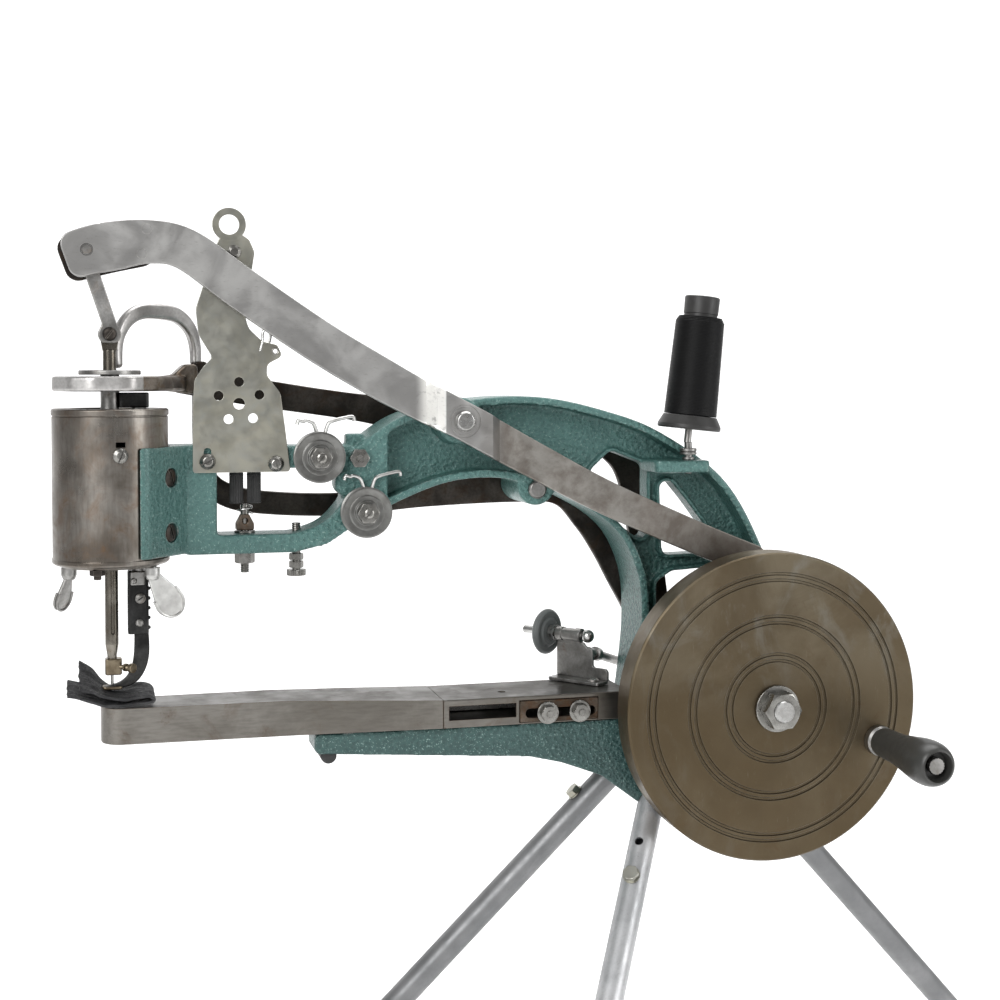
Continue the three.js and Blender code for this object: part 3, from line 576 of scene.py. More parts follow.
def hammertone():
    """Green hammertone enamel on cast iron, rubbed through to grey on the edges, with painted glints, painted
    light high up and painted shade low down and over the clamp lug.
    """
    f = Finish("green_hammertone", Metallic=0.25, Coat_Weight=0.25, Coat_Roughness=0.2)
    dimples = f.cells(0.0024, "SMOOTH_F1")
    fine = f.noise(0.0011, 3, 0.6)
    deep, mid, pale = (0.014, 0.054, 0.049), (0.036, 0.106, 0.094), (0.22, 0.33, 0.305)
    colour = f.mix(f.range(dimples, 0.15, 0.65), deep, mid)
    place = f.node("SeparateXYZ", {"Vector": f.place}).outputs
    height = place["Z"]
    # Painted shade: darker below about 0.41 m, strongest at the bottom of the casting.
    painted_low_shade = f.range(height, 0.33, 0.41, 0.75, 0.0)
    colour = f.mix(painted_low_shade, colour, (0.012, 0.040, 0.038))
    # Painted shade over the clamp lug: darker where X is near the needle.
    painted_lug_shade = f.range(place["X"], NEEDLE.x + 0.05, NEEDLE.x + 0.17, 0.66, 0.0)
    colour = f.mix(painted_lug_shade, colour, (0.012, 0.046, 0.041))
    # Painted light: paler high up on the arm.
    painted_top_light = f.range(height, 0.43, 0.5, 0.0, 0.48)
    colour = f.mix(painted_top_light, colour, (0.085, 0.19, 0.175))
    # Painted highlights: pale glints on the dimpled enamel.
    painted_glints = f.math("MULTIPLY", f.range(fine, 0.57, 0.68), f.range(dimples, 0.25, 0.5))
    colour = f.mix(f.math("MULTIPLY", painted_glints, 0.8), colour, pale)
    patches = f.range(f.noise(0.04, 5, 0.6), 0.4, 0.7)
    colour = f.mix(f.math("MULTIPLY", patches, 0.25), colour, (0.035, 0.085, 0.082))
    chips = f.range(f.noise(0.007, 6, 0.7), 0.45, 0.62)
    rubbed = f.math("MULTIPLY", f.edges(0.0014, 0.08, 0.35), chips)
    colour = f.mix(rubbed, colour, (0.30, 0.28, 0.26))
    roughness = f.range(fine, 0.2, 0.7, 0.3, 0.48)
    grain = f.math("ADD", f.math("MULTIPLY", dimples, 0.8), f.math("MULTIPLY", fine, 0.6))
    relief = f.bump(grain, 0.9, 0.0016)
    relief = f.bump(f.noise(0.012, 4, 0.6), 0.3, 0.0006, relief)
    return f.wire_up(Base_Color=colour, Roughness=roughness, Normal=relief)


def wheel_iron():
    """Turned cast iron, brown and oily in cloudy patches, with greyer streaks and painted shade over its lower
    part.
    """
    f = Finish("oily_wheel_iron", Metallic=0.85)
    clouds = f.range(f.noise(0.07, 6, 0.6, 0.6), 0.35, 0.68)
    colour = f.mix(clouds, (0.094, 0.072, 0.044), (0.158, 0.134, 0.094))
    greys = f.range(f.noise(0.045, 7, 0.65, 1.4, (1, 1, 0.6)), 0.5, 0.7)
    colour = f.mix(f.math("MULTIPLY", greys, 0.6), colour, (0.185, 0.178, 0.155))
    # Painted shade: the lower part of the wheel is darkened towards deep brown.
    height = f.node("SeparateXYZ", {"Vector": f.place}).outputs["Z"]
    painted_shade = f.range(height, 0.44, 0.36, 0.0, 0.74)
    colour = f.mix(painted_shade, colour, (0.070, 0.050, 0.026))
    rust = f.range(f.noise(0.018, 8, 0.7, 0.8), 0.55, 0.8)
    colour = f.mix(f.math("MULTIPLY", rust, 0.6), colour, (0.075, 0.046, 0.022))
    scratches = f.noise(0.0011, 3, 0.7, 0, (1, 1, 0.12))
    colour = f.mix(f.math("MULTIPLY", f.range(scratches, 0.62, 0.8), 0.25), colour,
                   (0.24, 0.22, 0.18))
    colour = f.mix(f.math("MULTIPLY", f.edges(0.0008), 0.7), colour, (0.21, 0.20, 0.165))
    roughness = f.range(f.noise(0.03, 6, 0.6), 0.3, 0.7, 0.36, 0.56)
    relief = f.bump(f.noise(0.004, 6, 0.65), 0.25, 0.0001)
    relief = f.bump(scratches, 0.15, 0.00004, relief)
    return f.wire_up(Base_Color=colour, Roughness=roughness, Normal=relief)


def lever_steel():
    """Ground flat bar: grey in front of the pivot, brown with handling behind it, with a painted highlight and
    painted shade on the joggle's bends.
    """
    f = Finish("ground_lever_steel", Metallic=1.0)
    along = f.node("SeparateXYZ", {"Vector": f.place}).outputs["X"]
    pivot_x = NEEDLE.x + PIVOT.x * MM
    clouds = f.noise(0.03, 6, 0.6, 0.6)
    colour = f.mix(f.range(clouds, 0.35, 0.65), (0.295, 0.29, 0.283), (0.37, 0.366, 0.357))
    behind = f.range(along, pivot_x + 0.018, pivot_x + 0.03)
    mottle = f.range(f.noise(0.026, 9, 0.68, 0.25), 0.38, 0.62)
    brown = f.mix(mottle, (0.15, 0.128, 0.108), (0.29, 0.275, 0.25))
    colour = f.mix(f.math("MULTIPLY", behind, 0.85), colour, brown)
    far = f.range(along, pivot_x + 0.09, pivot_x + 0.19)
    colour = f.mix(f.math("MULTIPLY", far, 0.45), colour, (0.085, 0.066, 0.052))
    # Painted shade on the joggle's bend behind the pivot, which turns away from the light.
    joggle = f.math("MULTIPLY", f.range(along, pivot_x + 0.006, pivot_x + 0.016),
                    f.range(along, pivot_x + 0.036, pivot_x + 0.028))
    colour = f.mix(f.math("MULTIPLY", joggle, 0.25), colour, (0.105, 0.085, 0.070))
    # Painted highlight: a near-white patch on the joggle's slope in front of the pivot, where the bar faces the
    # light, broken up by noise.
    painted_highlight_band = f.math("MULTIPLY", f.range(along, pivot_x - 0.031, pivot_x - 0.022),
                    f.range(along, pivot_x - 0.0115, pivot_x - 0.0125))
    painted_highlight_breakup = f.range(f.noise(0.012, 5, 0.6, 0.8), 0.30, 0.48)
    colour = f.mix(f.math("MULTIPLY", painted_highlight_band, painted_highlight_breakup), colour, (1.0, 0.99, 0.95))
    scratches = f.noise(0.0012, 4, 0.65, 0, (0.3, 1, 1))
    colour = f.mix(f.math("MULTIPLY", f.range(scratches, 0.55, 0.78), 0.3), colour,
                   (0.13, 0.12, 0.11))
    stains = f.range(f.noise(0.009, 8, 0.72, 1.0), 0.66, 0.82)
    colour = f.mix(f.math("MULTIPLY", stains, 0.7), colour, (0.12, 0.07, 0.035))
    colour = f.mix(f.math("MULTIPLY", f.edges(0.0007), 0.6), colour, (0.46, 0.45, 0.43))
    roughness = f.range(clouds, 0.3, 0.7, 0.36, 0.52)
    relief = f.bump(f.noise(0.006, 5, 0.6), 0.25, 0.00008)
    relief = f.bump(scratches, 0.12, 0.00003, relief)
    return f.wire_up(Base_Color=colour, Roughness=roughness, Normal=relief)


def zinc_plating():
    """Yellow-passivated zinc with a faint rainbow cloud."""
    f = Finish("zinc_plating", Metallic=1.0)
    clouds = f.range(f.noise(0.022, 4, 0.55, 1.5), 0.35, 0.7)
    colour = f.mix(clouds, (0.315, 0.312, 0.278), (0.345, 0.335, 0.28))
    tint = f.range(f.noise(0.013, 3, 0.5, 2.0), 0.54, 0.72)
    colour = f.mix(f.math("MULTIPLY", tint, 0.2), colour, (0.31, 0.335, 0.33))
    rosy = f.range(f.noise(0.017, 3, 0.5, 2.0, (1, 1, 1.4)), 0.58, 0.72)
    colour = f.mix(f.math("MULTIPLY", rosy, 0.12), colour, (0.40, 0.32, 0.25))
    marks = f.range(f.noise(0.002, 6, 0.75, 0, (1, 1, 0.3)), 0.58, 0.8)
    colour = f.mix(f.math("MULTIPLY", marks, 0.35), colour, (0.17, 0.155, 0.12))
    roughness = f.range(f.noise(0.012, 5, 0.6), 0.3, 0.7, 0.3, 0.46)
    relief = f.bump(f.noise(0.003, 5, 0.6), 0.15, 0.00006)
    return f.wire_up(Base_Color=colour, Roughness=roughness, Normal=relief)


def leg_paint(name, tone):
    """Silver-grey tube with faint drawing streaks and rubbed spots."""
    f = Finish(name, Metallic=0.7)
    streaks = f.noise(0.0015, 4, 0.6)
    colour = f.mix(f.range(f.noise(0.03, 6, 0.6), 0.35, 0.7), (tone, tone * 1.02, tone * 1.04),
                   (tone * 1.35, tone * 1.36, tone * 1.38))
    colour = f.mix(f.math("MULTIPLY", f.range(streaks, 0.5, 0.8), 0.3), colour, (0.17, 0.17, 0.175))
    spots = f.range(f.noise(0.004, 7, 0.75), 0.62, 0.75)
    colour = f.mix(f.math("MULTIPLY", spots, 0.6), colour, (0.12, 0.10, 0.08))
    roughness = f.range(f.noise(0.01, 5, 0.6), 0.3, 0.7, 0.36, 0.52)
    relief = f.bump(streaks, 0.15, 0.00004)
    return f.wire_up(Base_Color=colour, Roughness=roughness, Normal=relief)


def plastic(name, tone, rough=0.38, grain=0.0007):
    """Moulded plastic or rubber with a fine spark-eroded skin and patches of pale dust."""
    f = Finish(name, Specular_IOR_Level=0.4)
    dust = f.range(f.noise(0.012, 7, 0.7), 0.5, 0.8)
    pale = tuple(min(1.0, c * 1.8 + 0.006) for c in tone)
    colour = f.mix(f.math("MULTIPLY", dust, 0.5), tone, pale)
    roughness = f.range(f.noise(0.008, 5, 0.6), 0.3, 0.7, rough * 0.85, rough * 1.25)
    relief = f.bump(f.noise(grain, 3, 0.6), 0.25, 0.00005)
    return f.wire_up(Base_Color=colour, Roughness=roughness, Normal=relief)


def thread_cotton():
    """Black bonded thread: soft sheen on crossing fibres."""
    f = Finish("black_thread", Roughness=0.45, Specular_IOR_Level=0.14)
    fibres = f.noise(0.0006, 4, 0.7, 0, (1, 1, 3.5))
    colour = f.mix(f.range(fibres, 0.35, 0.75), (0.0012, 0.0012, 0.0013), (0.0045, 0.0045, 0.0048))
    return f.wire_up(Base_Color=colour, Normal=f.bump(fibres, 0.4, 0.0001))


def black_leather():
    """Scuffed black leather with a pebbled grain."""
    f = Finish("black_leather", Specular_IOR_Level=0.3)
    pebbles = f.cells(0.0013)
    creases = f.noise(0.006, 7, 0.7, 0.6, (0.5, 1, 1))
    colour = f.mix(f.range(creases, 0.42, 0.7), (0.013, 0.013, 0.014), (0.044, 0.044, 0.045))
    roughness = f.range(pebbles, 0.1, 0.6, 0.5, 0.7)
    relief = f.bump(creases, 0.6, 0.0009, f.bump(pebbles, 0.5, 0.0003))
    return f.wire_up(Base_Color=colour, Roughness=roughness, Normal=relief)


GREEN = hammertone()
IRON = wheel_iron()
LEVER = lever_steel()
ZINC = zinc_plating()
# One tube finish in lit and shaded copies: painted light makes the front leg lighter, painted shade makes the
# left and right legs darker.
TUBES = {"left": leg_paint("silver_tube", 0.145), "front": leg_paint("painted_lit_silver_tube", 0.36),
         "right": leg_paint("painted_shaded_silver_tube", 0.155)}
DRUM = metal("stained_drum_steel", (0.235, 0.22, 0.20), (0.12, 0.104, 0.088), (0.11, 0.062, 0.032),
             stained=0.5, rough=(0.26, 0.4), grain=(1, 1, 0.15), patch=0.045)
# The bed's upward faces get painted shade.
BED = metal("worn_bed_steel", (0.205, 0.194, 0.177), (0.14, 0.13, 0.115), (0.09, 0.055, 0.032),
            stained=0.4, grain=(0.15, 1, 1), worn=(0.11, 0.075, 0.05), patch=0.05, top_painted_shade=0.8)
DARK = metal("forged_dark_steel", (0.070, 0.062, 0.055), (0.024, 0.021, 0.019), (0.05, 0.03, 0.018),
             stained=0.5, rough=(0.38, 0.6), worn=(0.20, 0.18, 0.16), dents=0.0002)
FORGED = metal("forged_grey_steel", (0.33, 0.325, 0.315), (0.20, 0.195, 0.185), stained=0.3,
               rough=(0.3, 0.46), dents=0.0001, patch=0.02)
NECK = metal("brown_neck_steel", (0.20, 0.175, 0.15), (0.09, 0.075, 0.062), stained=0.5,
             rough=(0.32, 0.5), dents=0.0002, patch=0.015)
BLACKENED = metal("blackened_steel", (0.058, 0.058, 0.057), (0.020, 0.020, 0.020),
                  (0.032, 0.028, 0.024), stained=0.3, rough=(0.34, 0.5), dents=0.0002)
CAST_STEEL = metal("cast_loop_steel", (0.50, 0.49, 0.48), (0.36, 0.35, 0.34), stained=0.2,
                   rough=(0.32, 0.46), dents=0.0001, patch=0.02)
BAR = metal("needle_bar_steel", (0.20, 0.185, 0.16), (0.10, 0.09, 0.075), stained=0.3,
            rough=(0.2, 0.32), grain=(1, 1, 0.1), patch=0.02)
BRIGHT = small_metal("bright_steel", (0.44, 0.44, 0.43), (0.32, 0.315, 0.305))
NUT = small_metal("nut_zinc", (0.27, 0.265, 0.25), (0.175, 0.17, 0.158))
CAST_ZINC = small_metal("cast_wing_metal", (0.50, 0.50, 0.485), (0.36, 0.355, 0.345),
                        rough=(0.28, 0.42))
DISC = small_metal("tension_disc_steel", (0.20, 0.20, 0.192), (0.135, 0.134, 0.127),
                   rough=(0.34, 0.46))
BRASSY = small_metal("oily_brass_steel", (0.24, 0.20, 0.14), (0.12, 0.095, 0.065), (0.06, 0.035, 0.02),
                     0.6, (0.28, 0.44))
RUSTY = metal("rusty_slide_steel", (0.13, 0.108, 0.088), (0.06, 0.046, 0.035), (0.10, 0.048, 0.022),
              stained=0.7, rough=(0.45, 0.7), worn=(0.22, 0.19, 0.16), patch=0.012)
BLACK = plastic("black_plastic", (0.028, 0.028, 0.026), 0.36)
CAP = plastic("grey_spool_plastic", (0.020, 0.0195, 0.019), 0.42)
RUBBER = plastic("black_rubber", (0.018, 0.018, 0.018), 0.62, 0.0011)
TYRE = plastic("grey_rubber", (0.088, 0.095, 0.094), 0.55, 0.0009)
THREAD = thread_cotton()
LEATHER = black_leather()

# ---- frame casting ------------------------------------------------------------------------
ARM_OUTER = [(146, 530), (180, 553), (222, 563), (270, 565), (315, 556), (355, 541),
             (400, 509), (428, 462), (445, 410), (452, 360), (448, 300)]
ARM_INNER = [(148, 481), (174, 497), (212, 511), (250, 512), (288, 500), (323, 478),
             (339, 448), (342, 415), (339, 380), (334, 340), (333, 300)]
ARM_WINDOWS = [
    [(309, 515), (324, 529), (350, 519), (350, 465), (327, 482)],
    [(359, 507), (367, 508), (378, 495), (391, 478), (401, 459), (361, 458)],
    [(357, 440), (368, 447), (402, 449), (424, 430), (430, 400), (357, 400)],
]
SCREW_HOLES = [(58, 526), (100, 524), (152, 527)]


def cast(solids, cuts, voxel):
    """One iron casting: solids fused with small fillets, then drilled."""
    fused = modified(join(*solids), "REMESH", mode="VOXEL", voxel_size=voxel)
    fused = modified(fused, "SMOOTH", factor=0.5, iterations=3)
    return boolean(fused, cuts)


def arm_solids():
    outline = smooth(ARM_OUTER, 64) + smooth(ARM_INNER, 56)[::-1]
    windows = [fillet(window, 5) for window in ARM_WINDOWS]
    flanges = plate(outline, -4, 40, [inset(outline, 4.6)], edge=1.0)
    web = plate(outline, 14, 21, windows, edge=0.6)
    rims = [plate(inset(w, -2.6), 9, 26, [w], edge=1.0) for w in windows]
    near_end = [p for p in outline if p[0] < 173]
    return [flanges, web, *rims, plate(near_end, -4, 26, edge=1.0)]


def clamp_solids():
    lug = [(14.6, -30.5), (17, -33), (22, -30.6), (46, -2), (64, -2), (64, 26), (44, 28), (26, 29), (14, 32),
           (10, 24), (10, -24)]
    outer = fillet([(44, 468, 3), (112, 468, 40), (134, 473, 40), (150, 485, 20), (150, 535, 3),
                    (44, 535, 3)], 0, 8)
    window = fillet([(60, 480, 4), (112, 480, 30), (131, 486, 30), (144, 501, 12), (144, 521, 4),
                     (60, 521, 4)], 0, 8)
    drum = lathe([(0, 460), (HEAD_R + 0.4, 460), (HEAD_R + 0.4, 545), (0, 545)], steps=128)
    wrap = boolean(plate(fillet(lug, 2), 469, 536, edge=1.2, plane="XY"), [drum])
    return [wrap, plate(outer, -2, 26, [window], edge=1.2)]


def cradle_solid():
    side = [(122, 343), (260, 334), (281, 329), (308, 319), (333, 300), (345, 300), (345, 355.4),
            (122, 355.4)]
    plan = [(122, -16), (260, -20), (335, -22), (450, -14), (450, 46), (335, 36), (260, 26),
            (122, 16)]
    return boolean(
        plate(fillet(side, 3), -60, 60, edge=0.1),
        [plate(fillet(plan, 4), 280, 370, edge=0.1, plane="XY")],
        "INTERSECT",
    )


def boss(x, z, r, front, back):
    return rod(r, (x, front, z), (x, back, z), edge=1.2, steps=72)


def frame_casting():
    solids = [
        *arm_solids(),
        *clamp_solids(),
        cradle_solid(),
        boss(PIVOT.x, PIVOT.z, 15, -7.5, 30),
        boss(GOOSE.x, GOOSE.z + 2, 12.5, -3.5, 42.6),
        boss(WHEEL.x, WHEEL.z, 24, -12, 41.6),
        block(346, -20, 515, 384, 15, 523, 1.4, 4),
        block(336, -24, 300, 448, 46, 334, 1.5, 4),
        block(145, 2, 532, 157, 12, 542, 1.0, 2),
        boss(145, 511, 8, -4, 12),
    ]
    bores = [
        rod(PIVOT_BORE, (p.x, -60, p.z), (p.x, 80, p.z), 0.01) for p in (PIVOT, GOOSE)
    ]
    bores.append(rod(9.3, (WHEEL.x, -60, WHEEL.z), (WHEEL.x, 80, WHEEL.z), 0.01))
    bores += [rod(2.7, (x, -8, z), (x, 9, z), 0.01) for x, z in SCREW_HOLES]
    bores += [rod(2.7, (p.x, -8, p.z), (p.x, 9, p.z), 0.01) for p in DISCS.values()]
    bores += [rod(3.1, (x, 12, 455), (x, 12, 490), 0.01) for x in (82, 114.5)]
    bores.append(rod(3.1, (SPOOL.x, SPOOL.y, 505), (SPOOL.x, SPOOL.y, 530), 0.01))
    bores += [clamp_recess(z) for z in (517, 483.5)]
    bores += [leg_bore(leg) for leg in LEGS.values()]
    piece("casting", cast(solids, bores, 1.1), GREEN, "frame_casting", sharp=50)
    pivot_boss = lathe([(PIVOT_BORE, 0), (9.6, 0), (10, 0.4), (10, 6.2), (PIVOT_BORE, 6.2)],
                       (PIVOT.x, -7.5, PIVOT.z), (0, -1, 0))
    rear_boss = lathe([(PIVOT_BORE, 0), (10, 0), (10, 20), (9.6, 20.4), (PIVOT_BORE, 20.4)],
                      (PIVOT.x, 30, PIVOT.z), (0, 1, 0))
    piece("pivot_boss", join(pivot_boss, rear_boss), FORGED, body="frame")


PIVOT_BORE = 5.3
LUG_FACE = (35.8, -14.6)
LUG_TURN = math.radians(141)


def lug_frame(z):
    """The frame of a clamp screw: +Z goes into the slanted face of the lug."""
    turn = Matrix.Rotation(LUG_TURN, 4, "Z") @ Matrix.Rotation(math.pi / 2, 4, "Y")
    return Matrix.Translation((*LUG_FACE, z)) @ turn


def clamp_recess(z):
    cutter = rod(6.1, (0, 0, -8), (0, 0, 2.3), 0.3)
    cutter.transform(lug_frame(z))
    return cutter


def clamp_screws():
    for name, z in (("upper", 517), ("lower", 483.5)):
        head = slotted((0, 0, 2), (0, 0, -1), 5.4, 2.2, 1.1, 0.35, 0.4)
        shank = rod(2.5, (0, 0, 1.9), (0, 0, 5.4), 0.2, 32)
        screw = join(head, shank)
        screw.transform(lug_frame(z))
        piece(f"clamp_screw_{name}_detail", screw, DARK, f"clamp_screw_{name}")


# ---- tripod -------------------------------------------------------------------------------


def leg_frame(x, y, azimuth, _bolt):
    """The frame of a leg: +Z runs down the tube."""
    turn = Matrix.Rotation(math.radians(azimuth), 4, "Z")
    lean = Matrix.Rotation(math.pi - LEG_SPLAY, 4, "Y")
    return Matrix.Translation((x, y, LEG_TOP)) @ turn @ lean


def leg_bore(leg):
    cutter = rod(LEG_R + 0.3, (0, 0, -30.3), (0, 0, 90), 0.01)
    cutter.transform(leg_frame(*leg))
    return cutter


def horizontal_cut(leg, height):
    """A big block under a height, in the leg's own frame."""
    cutter = block(-900, -900, height - 400, 900, 900, height, 0.01)
    cutter.transform(leg_frame(*leg).inverted())
    return cutter


def tripod():
    for side, leg in LEGS.items():
        bolt = leg[3]
        length = (LEG_TOP - 14) / math.cos(LEG_SPLAY) + 20
        inner = LEG_R - 1.6
        tube = lathe(
            [(inner, -30), (LEG_R - 0.4, -30), (LEG_R, -29.4), (LEG_R, length), (inner, length)],
            steps=72,
        )
        holes = [rod(2.8, (-12, 0, at), (0, 0, at), 0.01) for at in (bolt, bolt - 24)]
        tube = boolean(tube, [*holes, horizontal_cut(leg, 14)])
        head = nut((-LEG_R - 0.3, 0, bolt), (-1, 0, 0), 9, 4, 0)
        shank = thread(2.5, (-2, 0, bolt), (-LEG_R - 0.5, 0, bolt), 0.9, 0.3)
        washer = lathe([(2.6, 0), (5.6, 0), (5.6, 0.6), (2.6, 0.6)], (-LEG_R + 0.2, 0, bolt),
                       (-1, 0, 0), 48)
        reach = (LEG_TOP - 14) / math.cos(LEG_SPLAY)
        cup = lathe(
            fillet([(0, reach + 38), (11.4, reach + 38), (11.4, reach - 20, 1), (10.6, reach - 24, 1),
                    (8.8, reach - 24, 0.4), (8.8, reach - 1), (0, reach - 1)], 0, 4, closed=False),
            steps=72,
        )
        rings = [lathe([(11.2, at - 1), (11.9, at - 0.6), (11.9, at + 0.6), (11.2, at + 1)],
                       steps=72) for at in (reach - 19, reach - 14, reach - 9)]
        cup = boolean(cup, [horizontal_cut(leg, 0)])
        for name, mesh, finish in (
            (f"leg_{side}", tube, TUBES[side]),
            (f"leg_bolt_{side}", join(head, shank, washer), ZINC),
            (f"foot_{side}", join(cup, *rings), RUBBER),
        ):
            mesh.transform(leg_frame(*leg))
            piece(f"{name}_detail", mesh, finish, name)


# ---- head ---------------------------------------------------------------------------------


def head_cylinder():
    z0, z1, r = HEAD_LOW.z, HEAD_HIGH.z, HEAD_R
    profile = fillet(
        [(r - 4, z0), (r - 1.5, z0, 0.6), (r, z0 + 1.2, 1.2), (r, z0 + 3.4, 0.5), (r - 0.5, z0 + 4, 0.3),
         (r - 0.5, z1 - 5, 0.2), (r - 0.9, z1 - 4.6, 0.1), (r - 0.9, z1 - 4.2, 0.1),
         (r - 0.1, z1 - 3.8, 0.3), (r - 0.1, z1 - 0.8, 0.8), (r - 1, z1, 0.4), (23.5, z1, 0.4),
         (23.5, z1 - 4), (r - 4, z1 - 4)],
        0, 4,
    )
    slot = block(2.4, -40, 536.4, 8, -25, 539.6, 0.05)
    shell = boolean(lathe(profile, steps=160), [slot, *(clamp_recess(z) for z in (517, 483.5))])
    piece("head_cylinder_shell", shell, DRUM, "head_cylinder", sharp=40)
    screw = slotted((5.1, -34.2, 531.6), (0.145, -1, 0), 4.6, 2.6, 0.9, 0.6, 1.2)
    piece("cylinder_screw", screw, NUT, body="frame")


def turret():
    profile = fillet(
        [(13, 463.5), (29.4, 463.5, 0.8), (30.6, 464.6, 0.8), (30.6, 474), (13, 474)], 0, 4)
    holes = [rod(5, (17, 0, 440), (17, 0, 480), 0.01), rod(2.8, (-25, 0, 440), (-25, 0, 480), 0.01),
             rod(2.8, (24, -13, 440), (24, -13, 480), 0.01)]
    piece("turret_detail", boolean(lathe(profile, steps=128), holes), DRUM, "turret")
    wing_screw("left", (-25, 0, 463.2), 0.85, (18, 0, 54))
    wing_screw("right", (24, -13, 463.2), 1.12, (0, -32, 20))
    stud = join(nut((-8.5, -24.5, 463.6), (0, 0, -1), 8, 3.4),
                rod(2.2, (-8.5, -24.5, 462), (-8.5, -24.5, 457.6), 0.4))
    piece("turret_stud", stud, DARK, body="turret")


def wing_screw(side, place, size, turn):
    """A cast wing screw: hub, one leaf-shaped ear and a threaded shank."""
    leaf = [(-2.5, 2), (-4.2, -4), (-6.6, -13), (-7.4, -20, 8), (-3.4, -26, 8), (3.4, -26.6, 8),
            (8, -21, 8), (7.4, -13), (4.6, -4), (3, 2)]
    leaf = [tuple(size * c for c in corner) for corner in leaf]
    blade = moved(plate(fillet(leaf, 6 * size), -1.2, 1.2, edge=0.9), (0, 0, -5.4),
                  [math.radians(a) for a in turn])
    rim = [(x, -1.2, z) for x, z in fillet(leaf[2:8], 6 * size, closed=False)]
    rim = moved(join(wire(rim, 0.8, 60), moved(wire(rim, 0.8, 60), (0, 2.4, 0))), (0, 0, -5.4),
                [math.radians(a) for a in turn])
    hub = lathe(fillet([(0, -8), (3.4, -8, 1.2), (4.6, -5, 1), (4.6, -0.5), (0, -0.5)], 0, 4, False),
                steps=48)
    shank = thread(2.5, (0, 0, -1), (0, 0, 10), 1.0, 0.3)
    screw = moved(join(blade, rim, hub, shank), place)
    finish = FORGED if side == "left" else CAST_ZINC
    piece(f"wing_screw_{side}_detail", screw, finish, f"wing_screw_{side}")


def presser():
    sleeve = lathe(
        fillet([(4.5, 476), (12, 476, 0.5), (12, 556.5, 0.8), (5.6, 558, 0.8), (5.6, 579.4),
                (18.5, 579.4, 0.5), (18.5, 582.2, 0.8), (4.5, 582.2)], 0, 4), steps=96)
    piece("presser_lug", block(5, -6, 559.6, 23, 6, 568.6, 0.8, 2), BLACKENED, body="presser")
    web = block(8, -5, 500, 18, 5, 520, 0.8, 1)
    stem = rod(4.5, (17, 0, 442), (17, 0, 568.6), 0.5)
    piece("presser_sleeve_detail", join(sleeve, web, stem), FORGED, "presser_sleeve")
    slot = block(9, -2.9, 400, 23, 2.9, 449, 0.02)
    carrier = block(9.5, -5, 421, 22, 5, 459.8, 0.9, 1.6)
    screws = [slotted((x, -5, z), (0, -1, 0), r, 1.5, 0.7, 0.6, turn)
              for x, z, r, turn in ((17, 443, 3.2, 0.6), (16.4, 428, 2.4, 2.1), (13.2, 454, 2.0, 1.1))]
    cleats = [rod(1.1, (22, -4.8, z), (22, -3, z), 0.3, 20) for z in (425, 431, 437, 443, 449)]
    pin = rod(1.5, (17, -6, 443), (17, 6, 443), 0.2)
    cap = block(11, -5.6, 451, 20, 5.6, 459.6, 0.8, 1.2)
    piece("presser_carrier", join(boolean(carrier, [slot]), *cleats, pin), BLACKENED,
          body="presser")
    piece("presser_screws", join(*screws, cap), FORGED, body="presser")
    strap = [(17, 447, 6), (17.6, 424, 8.4), (17.6, 409, 9.2), (15.6, 399.8, 8.4), (11.6, 393.4, 6.8),
             (5.5, 389.9, 4), (-1, 388.6, 2.8), (-5.5, 388.3, 2.4)]
    strap = plate(band(strap, 60, 1.1), -2.5, 2.5, edge=1.0)
    foot = boolean(strap, [rod(1.8, (17, -9, 443), (17, 9, 443), 0.01)])
    toe = plate(rectangle(-6, -4.6, 6, 4.6, 2.2), 387.4, 389.4, [rectangle(-3.5, -1.6, 4, 1.6, 1)],
                edge=0.7, plane="XY")
    piece("presser_foot_detail", foot, BLACKENED, "presser_foot")
    piece("presser_toe", toe, BRASSY, body=frame["nodes"]["presser_foot"]["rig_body"])


def needle_bar():
    eye = LINK_EYE
    bar = lathe(
        fillet([(0, 397), (2.4, 397, 0.3), (2.7, 399), (2.9, 408, 2), (4, 415, 2), (4, 594.6, 0.5), (0, 594.6)],
               0, 4, False), steps=64)
    flute = rod(1.1, (0.6, -4.1, 421), (0.6, -4.1, 468), 0.9, 24)
    tongue = plate(
        fillet([(-4, 593), (4, 593), (5.6, eye - 2), (6.5, eye + 1, 5), (2.5, eye + 6.5, 4),
                (-2.5, eye + 6.5, 4), (-6.5, eye + 1, 5), (-5.6, eye - 2)], 2), -2.5, 3.6, edge=0.5)
    clamp = block(-4.2, -4.5, 396.4, 5.8, 4.5, 406.4, 0.9, 1.6)
    thumb_end = Vector((10.6, -9.6, 401.4))
    thumb_way = (thumb_end - Vector((3, -2, 401.4))).normalized()
    thumb = join(
        thread(1.3, (3, -2, 401.4), thumb_end, 0.8, 0.25, 24),
        lathe(fillet([(0, 0), (3, 0, 0.4), (3, 2.6, 0.4), (0, 2.6)], 0, 3, False), thumb_end,
              thumb_way, 24),
        lathe([(0, -4.6), (2.4, -4.6), (2.4, -3), (0, -3)], thumb_end, thumb_way, 24),
    )
    pin = rod(2.6, (0, -9.4, eye), (0, -2, eye), 0.1, 32)
    head = slotted((0, -8.3, eye), (0, -1, 0), 3.9, 1.9, 0.9, 0.5, 0.9)
    piece("needle_bar_detail", join(boolean(bar, [flute]), tongue), BAR, "needle_bar")
    piece("needle_clamp", join(clamp, thumb), BRASSY, body="needle_bar")
    piece("link_screw", join(pin, head), DARK, body="needle_bar")
    low, high = span("needle")
    profile = [(0, low.z), (0.12, low.z + 0.1), (0.75, low.z + 5), (0.8, low.z + 12),
               (0.85, low.z + 24), (0.85, high.z), (0, high.z)]
    piece("needle_detail", lathe(profile, steps=32), BRIGHT, "needle")


